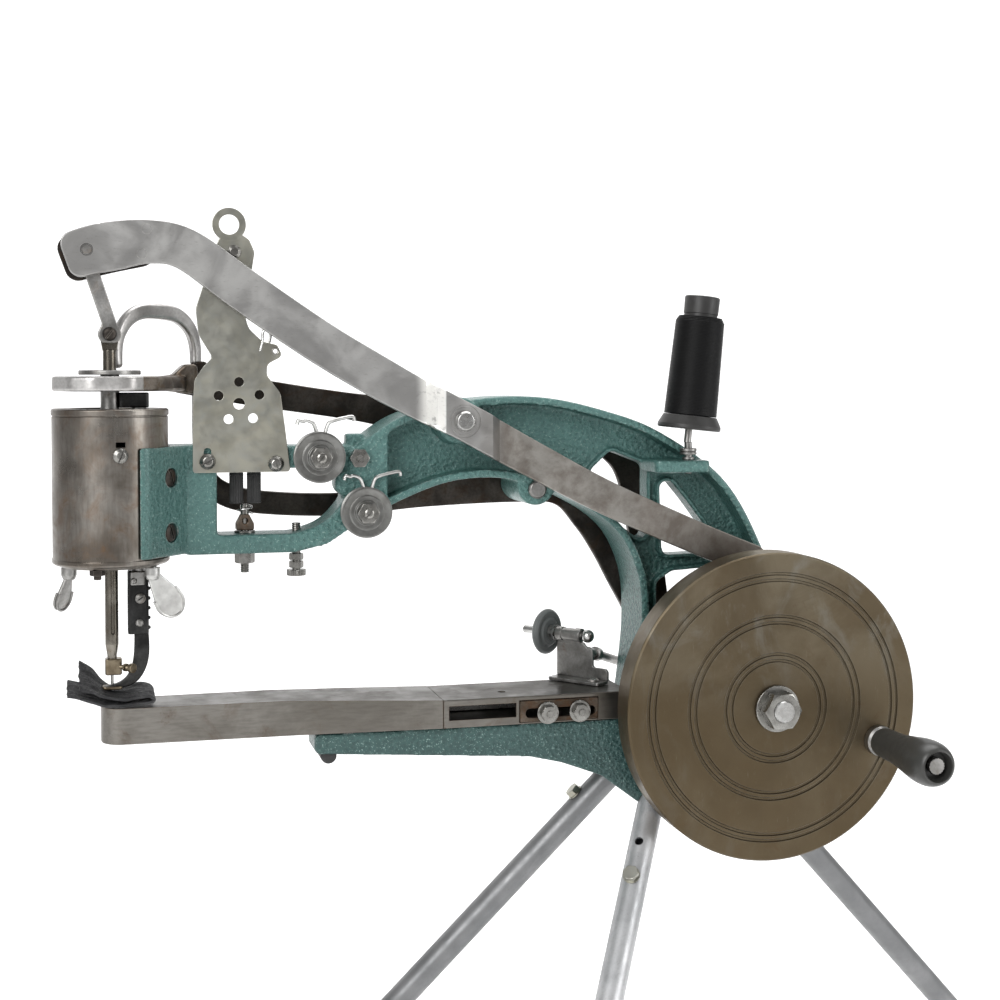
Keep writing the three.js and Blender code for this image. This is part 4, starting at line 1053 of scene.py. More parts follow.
LINK_EYE = 604

# ---- levers -------------------------------------------------------------------------------
LEVER_LINE = [
    (-25.6, 648.8, 27), (-12, 653.4, 28.5), (2, 656.5, 29), (24, 659.5, 26), (46, 655, 25), (80, 631, 26),
    (126, 600, 26), (164, 577.5, 26), (188, 564.5, 25), (217, 550, 24), (234, 541, 24),
    (263, 525.5, 23), (308, 502, 22), (350, 483, 21.5), (390, 466, 21), (424, 453, 20),
]
JOGGLE = {"front": (193.5, 199.5, 235.5, 241.5), "back": (199.5, 205.5, 228.5, 234.5), "rise": 6}


def ramp(x, a, b, c, d):
    """0 up to a, 1 between b and c, and 0 again from d, with smooth flanks."""
    up = min(max((x - a) / (b - a), 0), 1)
    down = min(max((d - x) / (d - c), 0), 1)
    t = min(up, down)
    return t * t * (3 - 2 * t)


def needle_lever():
    bar = plate(band(LEVER_LINE, 120, 7), -14, -8, edge=0.7)
    creases = [x for x4 in (JOGGLE["front"], JOGGLE["back"]) for x in x4]
    slices = sorted({a + (b - a) * k / 4 for a, b in ((193.5, 205.5), (228.5, 241.5)) for k in range(5)}
                    | set(creases))

    def cross_cuts(work):
        for x in slices:
            bmesh.ops.bisect_plane(work, geom=[*work.verts, *work.edges, *work.faces],
                                   plane_co=(x, 0, 0), plane_no=(1, 0, 0))

    def joggle(work):
        for vertex in work.verts:
            side = "front" if vertex.co.y < -11 else "back"
            vertex.co.y -= JOGGLE["rise"] * ramp(vertex.co.x, *JOGGLE[side])

    bar = edited(bar, weld, cross_cuts, joggle)
    bore = rod(PIVOT_BORE, (PIVOT.x, -40, PIVOT.z), (PIVOT.x, 0, PIVOT.z), 0.01)
    ring = lathe([(8.4, -0.4), (10.6, -0.4), (10.2, 0.35), (8.8, 0.35)],
                 (PIVOT.x, -19.9, PIVOT.z), (0, 1, 0), 64)
    notch = rod(1.6, (-6, -20, 671), (-6, -6, 671), 0.01, 24)
    socket = rod(3.8, (LINK.x, -20, LINK.z), (LINK.x, -13, LINK.z), 0.3)
    bar = boolean(bar, [bore, ring, notch, socket])
    cheek = plate(band([(-27.4, 646.9, 26.6), (-12, 652.4, 29), (2, 656, 29), (26, 659.5, 25.6)], 40, 7),
                  -2.2, 3, edge=0.7)
    pin = rod(3, (LINK.x, -13.9, LINK.z), (LINK.x, 2, LINK.z), 0.35)
    rivets = [rod(3, (x, -14.3, z), (x, 0, z), 0.25, 40) for x, z in ((22, 667), (19, 652))]
    piece("needle_lever_detail", join(bar, *rivets), LEVER, "needle_lever", sharp=32)
    piece("lever_cheek", cheek, DARK, body="needle_lever")
    piece("link_pin", pin, FORGED, body="needle_lever")
    low, high = span("needle_lever")
    roller = (WHEEL.x + 2, WHEEL.z + 90)
    axle = rod(3, (roller[0], -14, roller[1]), (roller[0], -30, roller[1]), 0.3, 32)
    wheel = lathe(fillet([(0, 0), (4.5, 0, 0.4), (4.5, 6, 0.4), (0, 6)], 0, 3, False),
                  (roller[0], low.y + 0.1, roller[1]), (0, 1, 0), 48)
    piece("lever_roller", join(axle, wheel), BRIGHT, body="needle_lever")
    hook = wire([(90, -8.5, 594), (91.5, -8.5, 600), (92, -8.5, 606), (95, -9, 607.5), (96.5, -9, 604),
                 (95.5, -9, 599)], 0.9, 40)
    piece("thread_hook", hook, BRIGHT, body="frame")


def needle_link():
    x, z, eye = LINK.x, LINK.z, LINK_EYE
    sides = fillet([(x - 4.6, z - 4), (x - 7.8, z, 6), (x - 4, z + 6.8, 5), (x + 4, z + 6.8, 5),
                    (x + 7.8, z, 6), (x + 4.8, z - 5, 3), (4.4, eye + 6, 3), (7.5, eye, 6),
                    (5, eye - 5.6, 5), (-5, eye - 5.6, 5), (-7.5, eye, 6), (-4.4, eye + 6, 3)], 1)
    holes = [circle(x, z, 3.9), circle(0, eye, 3.5)]
    piece("needle_link_detail", plate(sides, -7.6, -3, holes, edge=0.8), FORGED, "needle_link")


def ring_lever():
    line = [
        (42, 576, 16), (92, 568, 18), (159, 558, 18), (217, 550, 26), (272, 549, 22), (318, 542, 22),
        (345, 526, 22), (357, 503, 22), (364, 465, 22), (370, 432, 20), (376, 402, 16), (378, 388, 12),
    ]
    bore = rod(PIVOT_BORE, (PIVOT.x, 40, PIVOT.z), (PIVOT.x, 70, PIVOT.z), 0.01)
    arm = boolean(plate(band(line, 100, 3), 51, 57, edge=1.2), [bore])
    neck = [(-12, -32.9), (12, -32.9), (28, -18), (38, -2), (46.5, 16, 3), (46.5, 42, 1), (35, 42, 1),
            (14, 32), (-8, 34), (-24, 25.5), (-34, 8), (-34, -8), (-24, -25.5)]
    ring = plate(fillet(neck, 12), 569.5, 578.5, [circle(0, 0, 13.6, 64)], edge=1.6, plane="XY")
    slope = [(30, 569.6, 1), (54, 567, 3), (54, 586, 3), (46, 586, 4), (39, 579.4, 4), (30, 578.4, 1)]
    shoulder = plate(fillet(slope, 1), 18, 52, edge=1.4)
    piece("ring_lever_detail", arm, DARK, "ring_lever", sharp=40)
    fork = modified(join(ring, shoulder), "REMESH", mode="VOXEL", voxel_size=0.8)
    bright_side = block(-60, -60, 540, 19, 60, 600, 0.01)
    piece("ring_fork", boolean(fork.copy(), [bright_side.copy()], "INTERSECT"), CAST_STEEL,
          body="ring_lever", sharp=60)
    piece("ring_neck", boolean(fork, [bright_side]), NECK, body="ring_lever", sharp=60)


def gooseneck_lever():
    line = [
        (58, 588, 9), (57.5, 565, 10), (57.5, 535, 10), (60, 516, 12), (71, 503, 15), (95, 496.5, 15),
        (148, 494, 15), (204, 499, 16), (GOOSE.x, GOOSE.z, 24), (300, 499, 18), (318, 481, 18),
        (331, 462, 18), (343, 440, 18), (354, 420, 18), (364, 398, 17), (374, 376, 14),
    ]
    bore = rod(PIVOT_BORE, (GOOSE.x, 40, GOOSE.z), (GOOSE.x, 70, GOOSE.z), 0.01)
    arm = boolean(plate(band(line, 140, 3), 43, 49, edge=1.2), [bore])
    arch = [(-3, 583.5, 6), (-2.5, 600, 7), (4, 612, 8.5), (15, 618.3, 9.5), (30, 619, 9.6),
            (45, 617, 9.6), (56, 609, 8.5), (60.5, 598, 7.5), (61, 585.5, 7)]
    loop = plate(band(arch, 70, 2.5), -3, 3, edge=2.2)
    loop = moved(loop, (7, 10.5, 0), (0, 0, math.radians(38.3)))
    piece("gooseneck_lever_detail", arm, DARK, "gooseneck_lever", sharp=40)
    piece("gooseneck_loop", loop, CAST_STEEL, body="gooseneck_lever", sharp=50)


def pivots():
    bolt = join(
        rod(5, (PIVOT.x, -21, PIVOT.z), (PIVOT.x, 66, PIVOT.z), 0.6),
        lathe(fillet([(0, 0), (6.5, 0), (6.5, 2.6, 1.2), (5.2, 4.2, 1), (0, 4.2)], 0, 5, False),
              (PIVOT.x, -20.3, PIVOT.z), (0, -1, 0), 72),
        nut((PIVOT.x, 57.4, PIVOT.z), (0, 1, 0), 15, 6.6),
    )
    piece("lever_bolt_detail", bolt, BRIGHT, "lever_bolt")
    pin = join(
        rod(5, (GOOSE.x, -6.8, GOOSE.z), (GOOSE.x, 54, GOOSE.z), 0.6),
        lathe(fillet([(0, 0), (6, 0), (6, 2, 1), (4.8, 3.2, 0.8), (0, 3.2)], 0, 4, False),
              (GOOSE.x, -4.3, GOOSE.z), (0, -1, 0), 64),
        lathe([(5, 0), (8, 0), (8, 1.2), (5, 1.2)], (GOOSE.x, 49.4, GOOSE.z), (0, 1, 0), 48),
    )
    piece("rear_pin_detail", pin, FORGED, "rear_pin")


# ---- thread path --------------------------------------------------------------------------
PLATE_EDGE = [
    (66, 664, 4), (58, 640, 20), (51.4, 620, 12), (53, 604, 10), (61.5, 590, 3), (56, 584.5, 6),
    (50.3, 576, 8), (49.4, 560, 6), (49, 519, 2), (109, 519, 2), (106, 545, 20), (103, 568, 10),
    (94.6, 579, 5), (95, 586, 4), (104.5, 591, 3), (101, 598, 3), (92, 600, 8), (83.5, 608, 10),
    (80.6, 619, 12), (84.5, 636, 20), (87.5, 655, 6), (83.6, 664, 4),
]
PLATE_HOLES = [(77.5, 575, 3), (65, 566.5, 3), (90, 567, 3), (77.5, 561.5, 3.6), (71, 552, 3),
               (86, 552.5, 3), (100, 594, 1.4), (100, 524, 2.4)]


def thread_plate():
    front, back = -4.2, -2.3
    slot = fillet([(55.7, 523.6), (60.3, 523.6), (60.3, 534.4), (55.7, 534.4)], 2.3)
    holes = [circle(*hole, 32) for hole in PLATE_HOLES] + [slot]
    body = plate(fillet(PLATE_EDGE, 3), front, back, holes, edge=0.25)
    knob = plate(circle(75, 655, 11.5, 64), front - 0.04, back + 0.04, edge=0.25)
    ring = plate(circle(72, 671.7, 10.3, 72), front - 0.08, back + 0.08, edge=0.25)
    whole = boolean(body, [knob, ring], "UNION")
    whole = boolean(whole, [rod(6.2, (72, -9, 671.7), (72, 3, 671.7), 0.01)])
    rivet = lathe(fillet([(0, 0), (4.2, 0), (4.2, 0.8, 0.4), (2.4, 2, 0.8), (0, 2)], 0, 4, False),
                  (75, front + 0.1, 655), (0, -1, 0), 48)
    eyelet = wire([(100 + 2 * math.cos(a), front + 0.2, 594 + 2 * math.sin(a))
                   for a in [math.tau * k / 12 for k in range(13)]], 0.5, 48)
    piece("thread_plate_detail", whole, ZINC, "thread_plate", sharp=30)
    piece("plate_rivet", join(rivet, eyelet), NUT, body="frame")
    for side, x, z in (("left", 58, 526), ("right", 100, 524)):
        head = slotted((x, -4.3, z), (0, -1, 0), 5, 3.2, 0.9, 0.7, 0.5 if side == "left" else 1.9)
        shank = rod(2, (x, -5, z), (x, 6, z), 0.2, 24)
        piece(f"plate_screw_{side}_detail", join(head, shank), NUT, f"plate_screw_{side}")


def tension_pads():
    """Two knurled pads that grip the thread, with their rod, fork, washer and spring."""
    for side in ("left", "right"):
        low, high = span(f"pad_{side}")
        x, y = (low.x + high.x) / 2, 12
        knurl = plate(cog(x, y, 4.4, 22, 0.4), 498.6, 518, edge=0.35, plane="XY")
        rings = [lathe([(3.9, z), (4.5, z + 0.3), (4.5, z + 0.8), (3.9, z + 1.1)], (x, y, 0),
                       steps=48) for z in (498.8, 516)]
        piece(f"pad_{side}_detail", join(knurl, *rings), RUBBER, f"pad_{side}")
    fork = fillet([(76.5, 481.8, 1), (76.5, 486, 2), (79.6, 491.8, 1), (84.6, 491.8, 1),
                   (87.6, 486, 2), (87.6, 481.8, 1)], 1)
    fork = plate(fork, 8, 16, [circle(82, 487.6, 1.8, 24)], edge=0.6)
    rod_piece = join(
        thread(2.8, (82, 12, 455), (82, 12, 481), 1.1, 0.4),
        rod(2.6, (82, 12, 480), (82, 12, 498), 0.3),
        lathe([(3, 480.3), (6.5, 480.3), (6.5, 481.4), (3, 481.4)], (82, 12, 0)),
        nut((82, 12, 461), (0, 0, 1), 11, 6.6),
    )
    piece("tension_rod_detail", rod_piece, NUT, "tension_rod")
    piece("tension_fork", fork, RUSTY, body="frame")
    coil = [(82.2 + 4.6 * math.cos(a), 12 + 4.6 * math.sin(a), 492 + 4.4 * a / math.tau)
            for a in [math.tau * k / 10 for k in range(13)]]
    piece("tension_spring", wire(coil, 0.6, 90), BRIGHT, body="frame")
    low, high = span("adjust_bolt")
    x = (low.x + high.x) / 2
    bolt = join(
        plate(cog(x, 12, 6, 26, 0.4), 452, 456, edge=0.4, plane="XY"),
        nut((x, 12, 457), (0, 0, 1), 8, 4.4),
        nut((x, 12, 462), (0, 0, 1), 8, 4.2),
        rod(2.6, (x, 12, 455), (x, 12, 468), 0.2),
        thread(2.8, (x, 12, 466), (x, 12, 485.5), 1.1, 0.4),
    )
    piece("adjust_bolt_detail", bolt, NUT, "adjust_bolt")
    low, high = span("lock_nut")
    lock = Vector(((low.x + high.x) / 2, 0, (low.z + high.z) / 2))
    lock_nut = join(nut((lock.x, -4.3, lock.z), (0, -1, 0), 11, 5.6),
                    thread(2.4, (lock.x, 5, lock.z), (lock.x, -11.4, lock.z), 0.9, 0.3))
    piece("lock_nut_detail", lock_nut, NUT, "lock_nut")


def tension_discs():
    for side, place in DISCS.items():
        x, z = place.x, place.z
        dished = fillet(
            [(3.4, 0), (9, 0.4, 2), (14.8, -0.6, 0.6), (16, -0.4, 0.4), (15.9, 0.6, 0.4), (10.2, 3.1, 2),
             (10, 4.6, 1), (15.9, 6.6, 0.4), (16, 7.7, 0.4), (14.8, 7.8, 0.6), (11, 6.9, 1),
             (10.4, 7.6, 0.4), (7.8, 7.4, 0.6), (7.4, 9, 0.6), (3.4, 9)], 0, 4)
        piece(f"tension_disc_{side}_detail", lathe(dished, (x, -5.2, z), (0, -1, 0), 96), DISC,
              f"tension_disc_{side}")
        screw = join(
            rod(2.5, (x, -14, z), (x, 6, z), 0.2, 32),
            rod(3, (x, -15, z), (x, -4.5, z), 0.2, 32),
            nut((x, -14.6, z), (0, -1, 0), 12, 4.4),
            slotted((x, -18.9, z), (0, -1, 0), 3.4, 2, 0.9, 0.3, 0.9),
        )
        piece(f"tension_screw_{side}_detail", screw, NUT, f"tension_screw_{side}")
        loops = []
        for turn in (1, -1):
            lean = [(2.6, 15.8), (3.6, 19.6), (5.2, 22.6), (9, 24.2), (13 + 2 * turn, 24.6 + turn),
                    (17 + 3 * turn, 25.2 + turn), (18 + 3 * turn, 22.6 + turn)]
            loops.append(wire([(x + turn * u + 1.2, -7.4, z + v - 1.2) for u, v in lean], 1.15, 60))
        piece(f"check_spring_{side}", join(*loops), CAST_ZINC, body="frame")


def in_spool_frame(mesh):
    return moved(mesh, SPOOL, (0, SPOOL_TILT, 0))


def spool():
    winding = [(11.2, 12.6)]
    for k in range(66):
        h = 12.8 + k * 0.985
        swell = 17.4 - 1.3 * max(0, (h - 16) / 58) - max(0, h - 74) * 0.55
        winding += [(swell - 0.2, h), (swell, h + 0.3), (swell, h + 0.62), (swell - 0.2, h + 0.92)]
    winding.append((11.2, 78.0))
    piece("spool_thread_detail", in_spool_frame(lathe(winding, steps=112)), THREAD, "spool_thread",
          sharp=80)
    core = fillet(
        [(3, 3.4), (20.2, 3.4, 0.5), (20.8, 4.4, 0.5), (20.8, 6.2, 0.5), (17.6, 12.4, 0.8), (11, 12.6),
         (11, 79.6), (11.4, 80), (11.6, 90.6, 0.5), (11, 91.3, 0.4), (9.4, 91.4, 0.3), (9.2, 87, 0.3),
         (3, 87)], 0, 4)
    piece("spool_core_detail", in_spool_frame(lathe(core, steps=112)), CAP, "spool_core", sharp=40)
    spindle = in_spool_frame(rod(2.4, (0, 0, -6), (0, 0, 86), 0.8))
    stud = join(
        rod(2.5, (SPOOL.x, SPOOL.y, 514), (SPOOL.x, SPOOL.y, 535), 0.4),
        lathe(fillet([(2.5, 526.6), (5.6, 526.6, 0.4), (5.6, 528.2), (5, 528.6), (5.6, 529),
                      (5.6, 530.8, 0.4), (2.5, 530.8)], 0, 3), (SPOOL.x, SPOOL.y, 0), steps=64),
        lathe(fillet([(2.5, 523.2), (4, 523.2, 0.4), (4, 525, 0.4), (2.5, 525)], 0, 3),
              (SPOOL.x, SPOOL.y, 0), steps=48),
    )
    piece("spool_spindle_detail", join(spindle, stud), FORGED, "spool_spindle")


# ---- bed ----------------------------------------------------------------------------------
BED_PLAN = [(-7, -16.5, 13), (110, -18, 60), (205, -23, 8), (326, -23, 2), (326, 27, 2), (205, 27, 8),
            (110, 20, 60), (-7, 18, 13)]


def bed():
    low, high = span("bed_arm")
    plan = fillet(BED_PLAN, 2, 8)
    cover_cut = plate([(-60, 300), (202.2, 300), (202.2, 374), (150, 376.2), (100, 378), (-60, 378)],
                      -60, 60, edge=0.01)
    shell = plate(plan, low.z, 390, edge=0.8, plane="XY")
    shell = boolean(shell, [cover_cut], "INTERSECT")
    hollow = plate(fillet([(p[0], p[1], p[2]) for p in BED_PLAN], 2, 6), 340, 371.2, edge=0.1, plane="XY")
    hollow.transform(Matrix.Translation((0, 1.6, 0)) @ Matrix.Diagonal((0.985, 0.84, 1, 1)))
    needle_hole = rod(2.5, (0, 0, 350), (0, 0, 390), 0.01)
    cover = broken(boolean(shell, [hollow, needle_hole]), 0.9, 3)
    piece("bed_cover_detail", cover, BED, "bed_cover", sharp=32)

    floor_plan = fillet([(x * 0.975 + 2, y * 0.82, r) for x, y, r in BED_PLAN], 2, 6)
    floor = boolean(plate(floor_plan, low.z, 359.5, edge=0.6, plane="XY"),
                    [block(204, -60, 340, 400, 60, 400, 0.01)])
    rear = plate(plan, low.z, 374, edge=0.8, plane="XY")
    rear = boolean(rear, [
        block(-60, -60, 300, 202.6, 60, 420, 0.01),
        block(202, -20, 359.5, 306, 24, 370, 0.05),
        block(206, -40, 361, 250, -15, 370, 0.05),
        block(252, -25, 357, 305, -19, 371.5, 0.05),
        rod(2.6, (160, 0, 300), (160, 0, 301), 0.01),
        rod(2.6, (245, -5, 369), (245, -5, 380), 0.3),
        rod(2.6, (301, 8, 369), (301, 8, 380), 0.3),
    ])
    piece("bed_arm_detail", join(floor, broken(rear, 0.5, 2)), BED, "bed_arm", sharp=32)
    lip = block(203, -22.6, 371.2, 252, -19.5, 373.6, 0.4)
    sill = block(203, -22.9, 356.2, 252, -20, 360.6, 0.4)
    piece("bed_window_lips", join(lip, sill), RUSTY, body="frame")

    slide = plate(rectangle(252.4, 357.4, 304.6, 371, 1), -24, -20.5,
                  [rectangle(256, 360, 303, 366, 3)], edge=0.4)
    piece("slide_plate_detail", slide, RUSTY, "slide_plate")
    for side in ("left", "right"):
        centre = middle(f"bed_nut_{side}")
        x, z = centre.x, centre.z
        pile = join(
            lathe(fillet([(2.4, 0), (7.2, 0, 0.3), (7.2, 1.5, 0.5), (2.4, 1.5)], 0, 3),
                  (x, -24.3, z), (0, -1, 0), 72),
            nut((x, -25.9, z), (0, -1, 0), 9.5, 3.8),
            thread(2.3, (x, -16, z), (x, -30.4, z), 0.9, 0.3),
        )
        piece(f"bed_nut_{side}_detail", pile, NUT, f"bed_nut_{side}")
    pad = join(rod(5, (131, -14, 341), (131, 14, 341), 1.2), block(127, -10, 341, 135, 10, 344, 0.5))
    piece("cradle_pad", pad, RUBBER, body="frame")


SCRAP_WIDTH, SCRAP_THICK = 28, 1.6
SCRAP_ROWS = [
    (-19.6, 390.4, 403.2), (-13, 388.4, 398.6), (-7, 386.2, 391.2), (0, 384.2, 386.2),
    (8, 383.4, 386), (15, 384.2, 387.8), (20.5, 384.6, 387.4), (23.6, 383.6, 385.6),
    (24.4, 382, 383.6), (22, 380.6, 382), (14, 379.8, 382), (5, 379.6, 382.4), (-4, 380.2, 384),
    (-12, 382.8, 387.4), (-20, 385.2, 389.6), (-26.6, 386.8, 391.8),
]


def leather_scrap():
    """A crumpled offcut folded at its right end: a flap that stands up on a strip that lies."""
    steps_x, steps_y = 110, 32
    rows = smooth(SCRAP_ROWS, steps_x)
    points, faces = [], []
    for i, (x, low, high) in enumerate(rows):
        for j in range(steps_y + 1):
            v = j / steps_y
            y = -15.5 + SCRAP_WIDTH * v + 0.9 * noise.noise(Vector((i * 0.11, v, 7)))
            fold = 0.9 * noise.noise(Vector((i * 0.05, v * 5, 3)))
            crease = 0.5 * noise.noise(Vector((i * 0.16, v * 14, 9)))
            ragged = 0.8 * noise.noise(Vector((v * 6, 2, 5))) * (i in (0, steps_x))
            points.append((x + ragged, y, low + (high - low) * v**1.4 + fold + crease))
    for i in range(steps_x):
        for j in range(steps_y):
            a = i * (steps_y + 1) + j
            faces.append([a, a + steps_y + 1, a + steps_y + 2, a + 1])
    solid = modified(shape(points, faces), "SOLIDIFY", thickness=SCRAP_THICK, offset=0)
    scrap = piece("leather_sample_detail", edited(solid), LEATHER, "leather_sample", sharp=60)


def in_winder_frame(mesh):
    return moved(mesh, (WINDER.x, WINDER.y, 0), (0, 0, WINDER_TURN))


def winder():
    z = WINDER.z
    sheet = plate(fillet([(9, 376.4), (9, 400, 2.5), (30, 400, 2.5), (34, 396, 2), (38, 396, 2),
                          (38, 384, 2), (50, 384, 3), (50, 376.4)], 0), -1, 1, edge=0.35)
    base = block(9, -12, 374.4, 50, 1, 376.4, 0.35, 2)
    saddle = block(10, -1.4, 398, 28, 1.4, 402, 0.4)
    screw = slotted((42, -6, 376.2), (0, 0, 1), 3.8, 2.4, 0.8, 0.6, 0.4)
    piece("winder_bracket_detail", in_winder_frame(join(sheet, base, saddle, screw)), FORGED,
          "winder_bracket")
    sleeve = lathe(
        fillet([(2.9, 9), (4.6, 9, 0.4), (4.6, 14, 0.2), (4.1, 14.4), (4.1, 24), (4.6, 24.4, 0.2),
                (4.6, 29, 0.4), (2.9, 29)], 0, 3), (0, 0, z), (1, 0, 0), 64)
    piece("winder_sleeve", in_winder_frame(sleeve), FORGED, body="frame")
    spindle = join(
        rod(2.6, (-19, 0, z), (33, 0, z), 0.7),
        nut((3.8, 0, z), (1, 0, 0), 9.6, 4.8),
        nut((-6.6, 0, z), (1, 0, 0), 8, 3),
        ball(4.4, (33.5, 0, z)),
    )
    piece("winder_spindle_detail", in_winder_frame(spindle), BRIGHT, "winder_spindle")
    tyre = fillet([(2.9, -3.4), (8.6, -3.4, 0.5), (10, -2.2, 1), (13.6, -2.9, 1.6), (16, 0, 2.6),
                   (13.6, 2.9, 1.6), (10, 2.2, 1), (8.6, 3.4, 0.5), (2.9, 3.4)], 0, 5)
    piece("winder_tyre_detail", in_winder_frame(lathe(tyre, (0, 0, z), (1, 0, 0), 96)), TYRE,
          "winder_tyre", sharp=50)
    turn = Matrix.Rotation(math.radians(48), 4, "Z") @ Matrix.Rotation(math.radians(106), 4, "Y")
    link = join(
        rod(3, (0, 0, 0), (0, 0, 56), 0.6),
        lathe(fillet([(3, 12), (4.6, 12, 0.5), (4.6, 18, 0.5), (3, 18)], 0, 3), steps=48),
    )
    link.transform(Matrix.Translation((309.5, 14, 394.5)) @ turn)
    piece("winder_rod_detail", link, FORGED, "winder_rod")


# ---- drive --------------------------------------------------------------------------------


def groove(r, depth=1.1, width=2.3):
    """A turned groove in a face that rises to the hub, as profile points going inwards."""
    return [(r + width / 2, 0, 0.1), (r + width / 4, -depth, 0.1), (r - width / 4, -depth, 0.1),
            (r - width / 2, 0, 0.1)]


def hand_wheel():
    r, hub, depth = WHEEL_R, 9.3, WHEEL_HIGH.y - WHEEL_LOW.y
    rim = 21.0

    def face(radius):
        return rim + (depth - rim) * (r - radius) / (r - 16)

    front = [(r, 0.8, 0.6), (r, rim - 1.2, 0.8), (r - 1.2, face(r - 1.2), 0.8)]
    for centre in (86.5, 82.4, 59.2, 55.0, 34.8, 30.7):
        front += [(a, face(a) + h, c) for a, h, c in groove(centre)]
    front += [(17, depth, 0.3), (hub, depth)]
    back = [(hub, 0), (22, 0, 0.4), (23, 1.4, 0.4), (44, 1.4, 0.4), (45, 0, 0.4), (r - 1, 0, 0.4)]
    wheel = lathe(fillet(back + front, 0, 4), (WHEEL.x, WHEEL_HIGH.y, WHEEL.z), (0, -1, 0), 240)
    track = plate(circle(WHEEL.x, WHEEL.z + 17, 79, 160), WHEEL_HIGH.y - 7, WHEEL_HIGH.y + 2,
                  [circle(WHEEL.x, WHEEL.z + 17, 67, 160)], edge=0.02)
    hole = rod(4.3, (HANDLE.x, WHEEL_LOW.y - 5, HANDLE.z), (HANDLE.x, WHEEL_HIGH.y + 5, HANDLE.z), 0.01)
    piece("hand_wheel_detail", boolean(wheel, [track, hole]), IRON, "hand_wheel", sharp=30)
    nut_low = -61.3
    washer = lathe(fillet([(7.3, 0), (15, 0, 0.3), (15, 2, 0.6), (7.3, 2)], 0, 4),
                   (WHEEL.x, nut_low + 2.1, WHEEL.z), (0, -1, 0), 96)
    hexagon = nut((WHEEL.x, nut_low + 0.2, WHEEL.z), (0, -1, 0), 22, 9.6, 7.2, 1.2)
    piece("wheel_nut_detail", join(washer, hexagon), NUT, "wheel_nut")
    shaft = join(
        rod(9, (WHEEL.x, -59, WHEEL.z), (WHEEL.x, 62, WHEEL.z), 1, 72),
        thread(7, (WHEEL.x, -58.6, WHEEL.z), (WHEEL.x, -72, WHEEL.z), 1.6, 0.6, 64),
        rod(13, (WHEEL.x, -34.7, WHEEL.z), (WHEEL.x, -12.3, WHEEL.z), 0.8, 72),
    )
    piece("main_shaft_detail", shaft, BRIGHT, "main_shaft")


def rear_cams():
    lobes = []
    for dx, dz, y0, y1 in ((5, 3, 42, 50), (-4, 5, 50.6, 58.5)):
        lobe = plate(circle(WHEEL.x + dx, WHEEL.z + dz, 20, 96), y0, y1,
                     [circle(WHEEL.x, WHEEL.z, 9.3, 48)], edge=0.6)
        lobes.append(lobe)
    hub = lathe([(9.3, 49.6), (13, 49.6), (13, 51), (9.3, 51)], (WHEEL.x, 0, WHEEL.z), (0, 1, 0), 64)
    piece("rear_cam_detail", join(*lobes, hub), FORGED, "rear_cam")


def crank_handle():
    egg = smooth([(9.2, 4.6), (9.7, 8), (9.8, 15), (10.2, 27), (12, 41), (13.7, 53), (14.15, 61),
                  (13.6, 67.5), (12, 72), (10.4, 73.8)], 44)
    profile = [(4.4, 4.2), (8.8, 4.2), *egg, (9.6, 74), (9, 73), (8.7, 66), (4.4, 66)]
    grip = lathe(profile, (HANDLE.x, -60, HANDLE.z), (0, -1, 0), 96)
    piece("handle_grip_detail", grip, BLACK, "handle_grip", sharp=45)
    bolt = join(
        rod(4, (HANDLE.x, -128, HANDLE.z), (HANDLE.x, -35.5, HANDLE.z), 0.4),
        lathe(fillet([(4, 0), (10, 0, 0.6), (10, 5, 1), (8.6, 6.6, 0.6), (4, 6.6)], 0, 4),
              (HANDLE.x, -57.1, HANDLE.z), (0, -1, 0), 72),
        moved(plate(cog(0, 0, 5.4, 18, 0.5), 0, 4, edge=0.5, plane="XY"),
              (HANDLE.x, -127.9, HANDLE.z), (math.pi / 2, 0, 0)),
    )
    piece("handle_bolt_detail", bolt, FORGED, "handle_bolt")


def inner_works():
    """The hidden pieces keep their CAD shape with broken edges and a bright finish."""
    for node in ("shuttle", "bobbin", "rack_rod"):
        made = frame["nodes"][node]
        made.data.materials.clear()
        made.data.materials.append(BRIGHT)
        softened = made.modifiers.new("broken_edges", "BEVEL")
        softened.width = 0.0002
        softened.segments = 2
        softened.limit_method = "ANGLE"


# ---- camera, light and floor --------------------------------------------------------------
CAMERA = {"place": (-20.42, -1000.8, 580), "yaw": 14.87, "pitch": -2.02, "focal": 57.6,
          "shift_y": -0.0698}


def camera():
    data = bpy.data.cameras.new("camera")
    data.lens = CAMERA["focal"]
    data.sensor_width = 36
    data.shift_y = CAMERA["shift_y"]
    data.clip_end = 50
    made = bpy.data.objects.new("camera", data)
    made.location = NEEDLE + Vector(CAMERA["place"]) * MM
    made.rotation_euler = (math.radians(90 + CAMERA["pitch"]), 0, math.radians(-CAMERA["yaw"]))
    bpy.context.scene.collection.objects.link(made)
    bpy.context.scene.camera = made


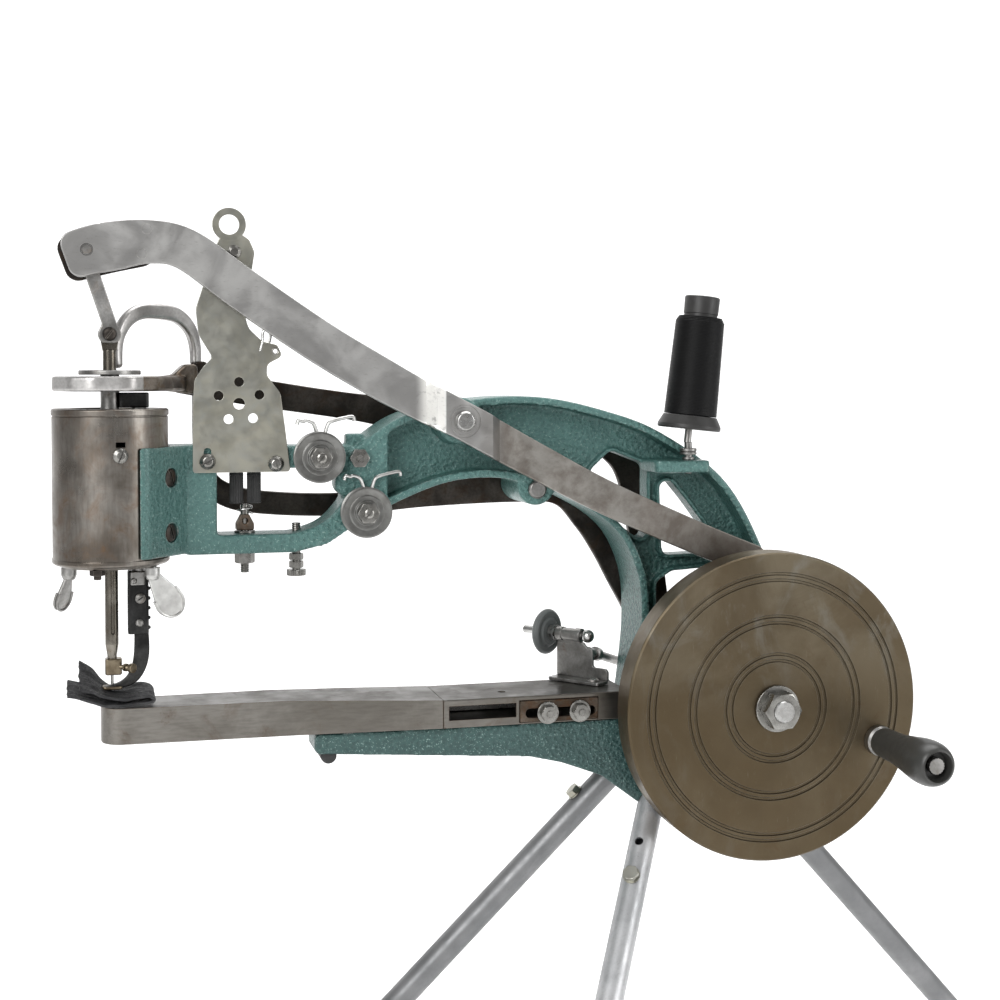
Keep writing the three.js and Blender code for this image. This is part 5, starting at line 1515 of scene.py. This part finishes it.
def soft_box(name, place, target, size, power):
    data = bpy.data.lights.new(name, "AREA")
    data.shape = "RECTANGLE"
    data.size, data.size_y = size
    data.energy = power
    made = bpy.data.objects.new(name, data)
    made.location = place
    aim = Vector(target) - Vector(place)
    made.rotation_euler = aim.to_track_quat("-Z", "Y").to_euler()
    bpy.context.scene.collection.objects.link(made)


def studio():
    """A pale sweep of paper, lit from inside, under three soft boxes."""
    bpy.context.scene.view_settings.view_transform = "Standard"
    world = bpy.data.worlds.new("studio")
    world.use_nodes = True
    world.node_tree.nodes["Background"].inputs["Color"].default_value = (1, 1, 1, 1)
    world.node_tree.nodes["Background"].inputs["Strength"].default_value = 0.42
    bpy.context.scene.world = world
    profile = [(-3.2, 0), (1.6, 0)]
    profile += [(1.6 + 0.9 * math.sin(a), 0.9 - 0.9 * math.cos(a))
                for a in [math.radians(90) * k / 24 for k in range(1, 25)]]
    profile.append((2.5, 3.2))
    points = [(x, y, z) for y, z in profile for x in (-4.5, 4.5)]
    faces = [[2 * k, 2 * k + 1, 2 * k + 3, 2 * k + 2] for k in range(len(profile) - 1)]
    mesh = shape(points, faces)
    mesh.polygons.foreach_set("use_smooth", [True] * len(mesh.polygons))
    paper = Finish("pale_paper", Roughness=0.9, Specular_IOR_Level=0.1, Emission_Strength=0.35,
                   Emission_Color=(1, 1, 1, 1))
    tone = paper.mix(paper.noise(0.4, 3, 0.5), (0.86, 0.86, 0.86), (0.89, 0.89, 0.89))
    mesh.materials.append(paper.wire_up(Base_Color=tone))
    floor = bpy.data.objects.new("paper_sweep", mesh)
    bpy.context.scene.collection.objects.link(floor)
    soft_box("key_light", (-1.5, -1.5, 1.5), (0, 0, 0.4), (1.2, 1.6), 46)
    soft_box("fill_light", (1.9, -1.3, 1.1), (0, 0, 0.4), (1.0, 1.6), 24)
    soft_box("top_light", (0.2, 0.5, 2.2), (0, 0, 0.3), (1.8, 1.2), 34)


camera()
frame_casting()
clamp_screws()
tripod()
head_cylinder()
turret()
presser()
needle_bar()
needle_lever()
needle_link()
ring_lever()
gooseneck_lever()
pivots()
thread_plate()
tension_pads()
tension_discs()
spool()
bed()
leather_scrap()
winder()
hand_wheel()
rear_cams()
crank_handle()
inner_works()
studio()
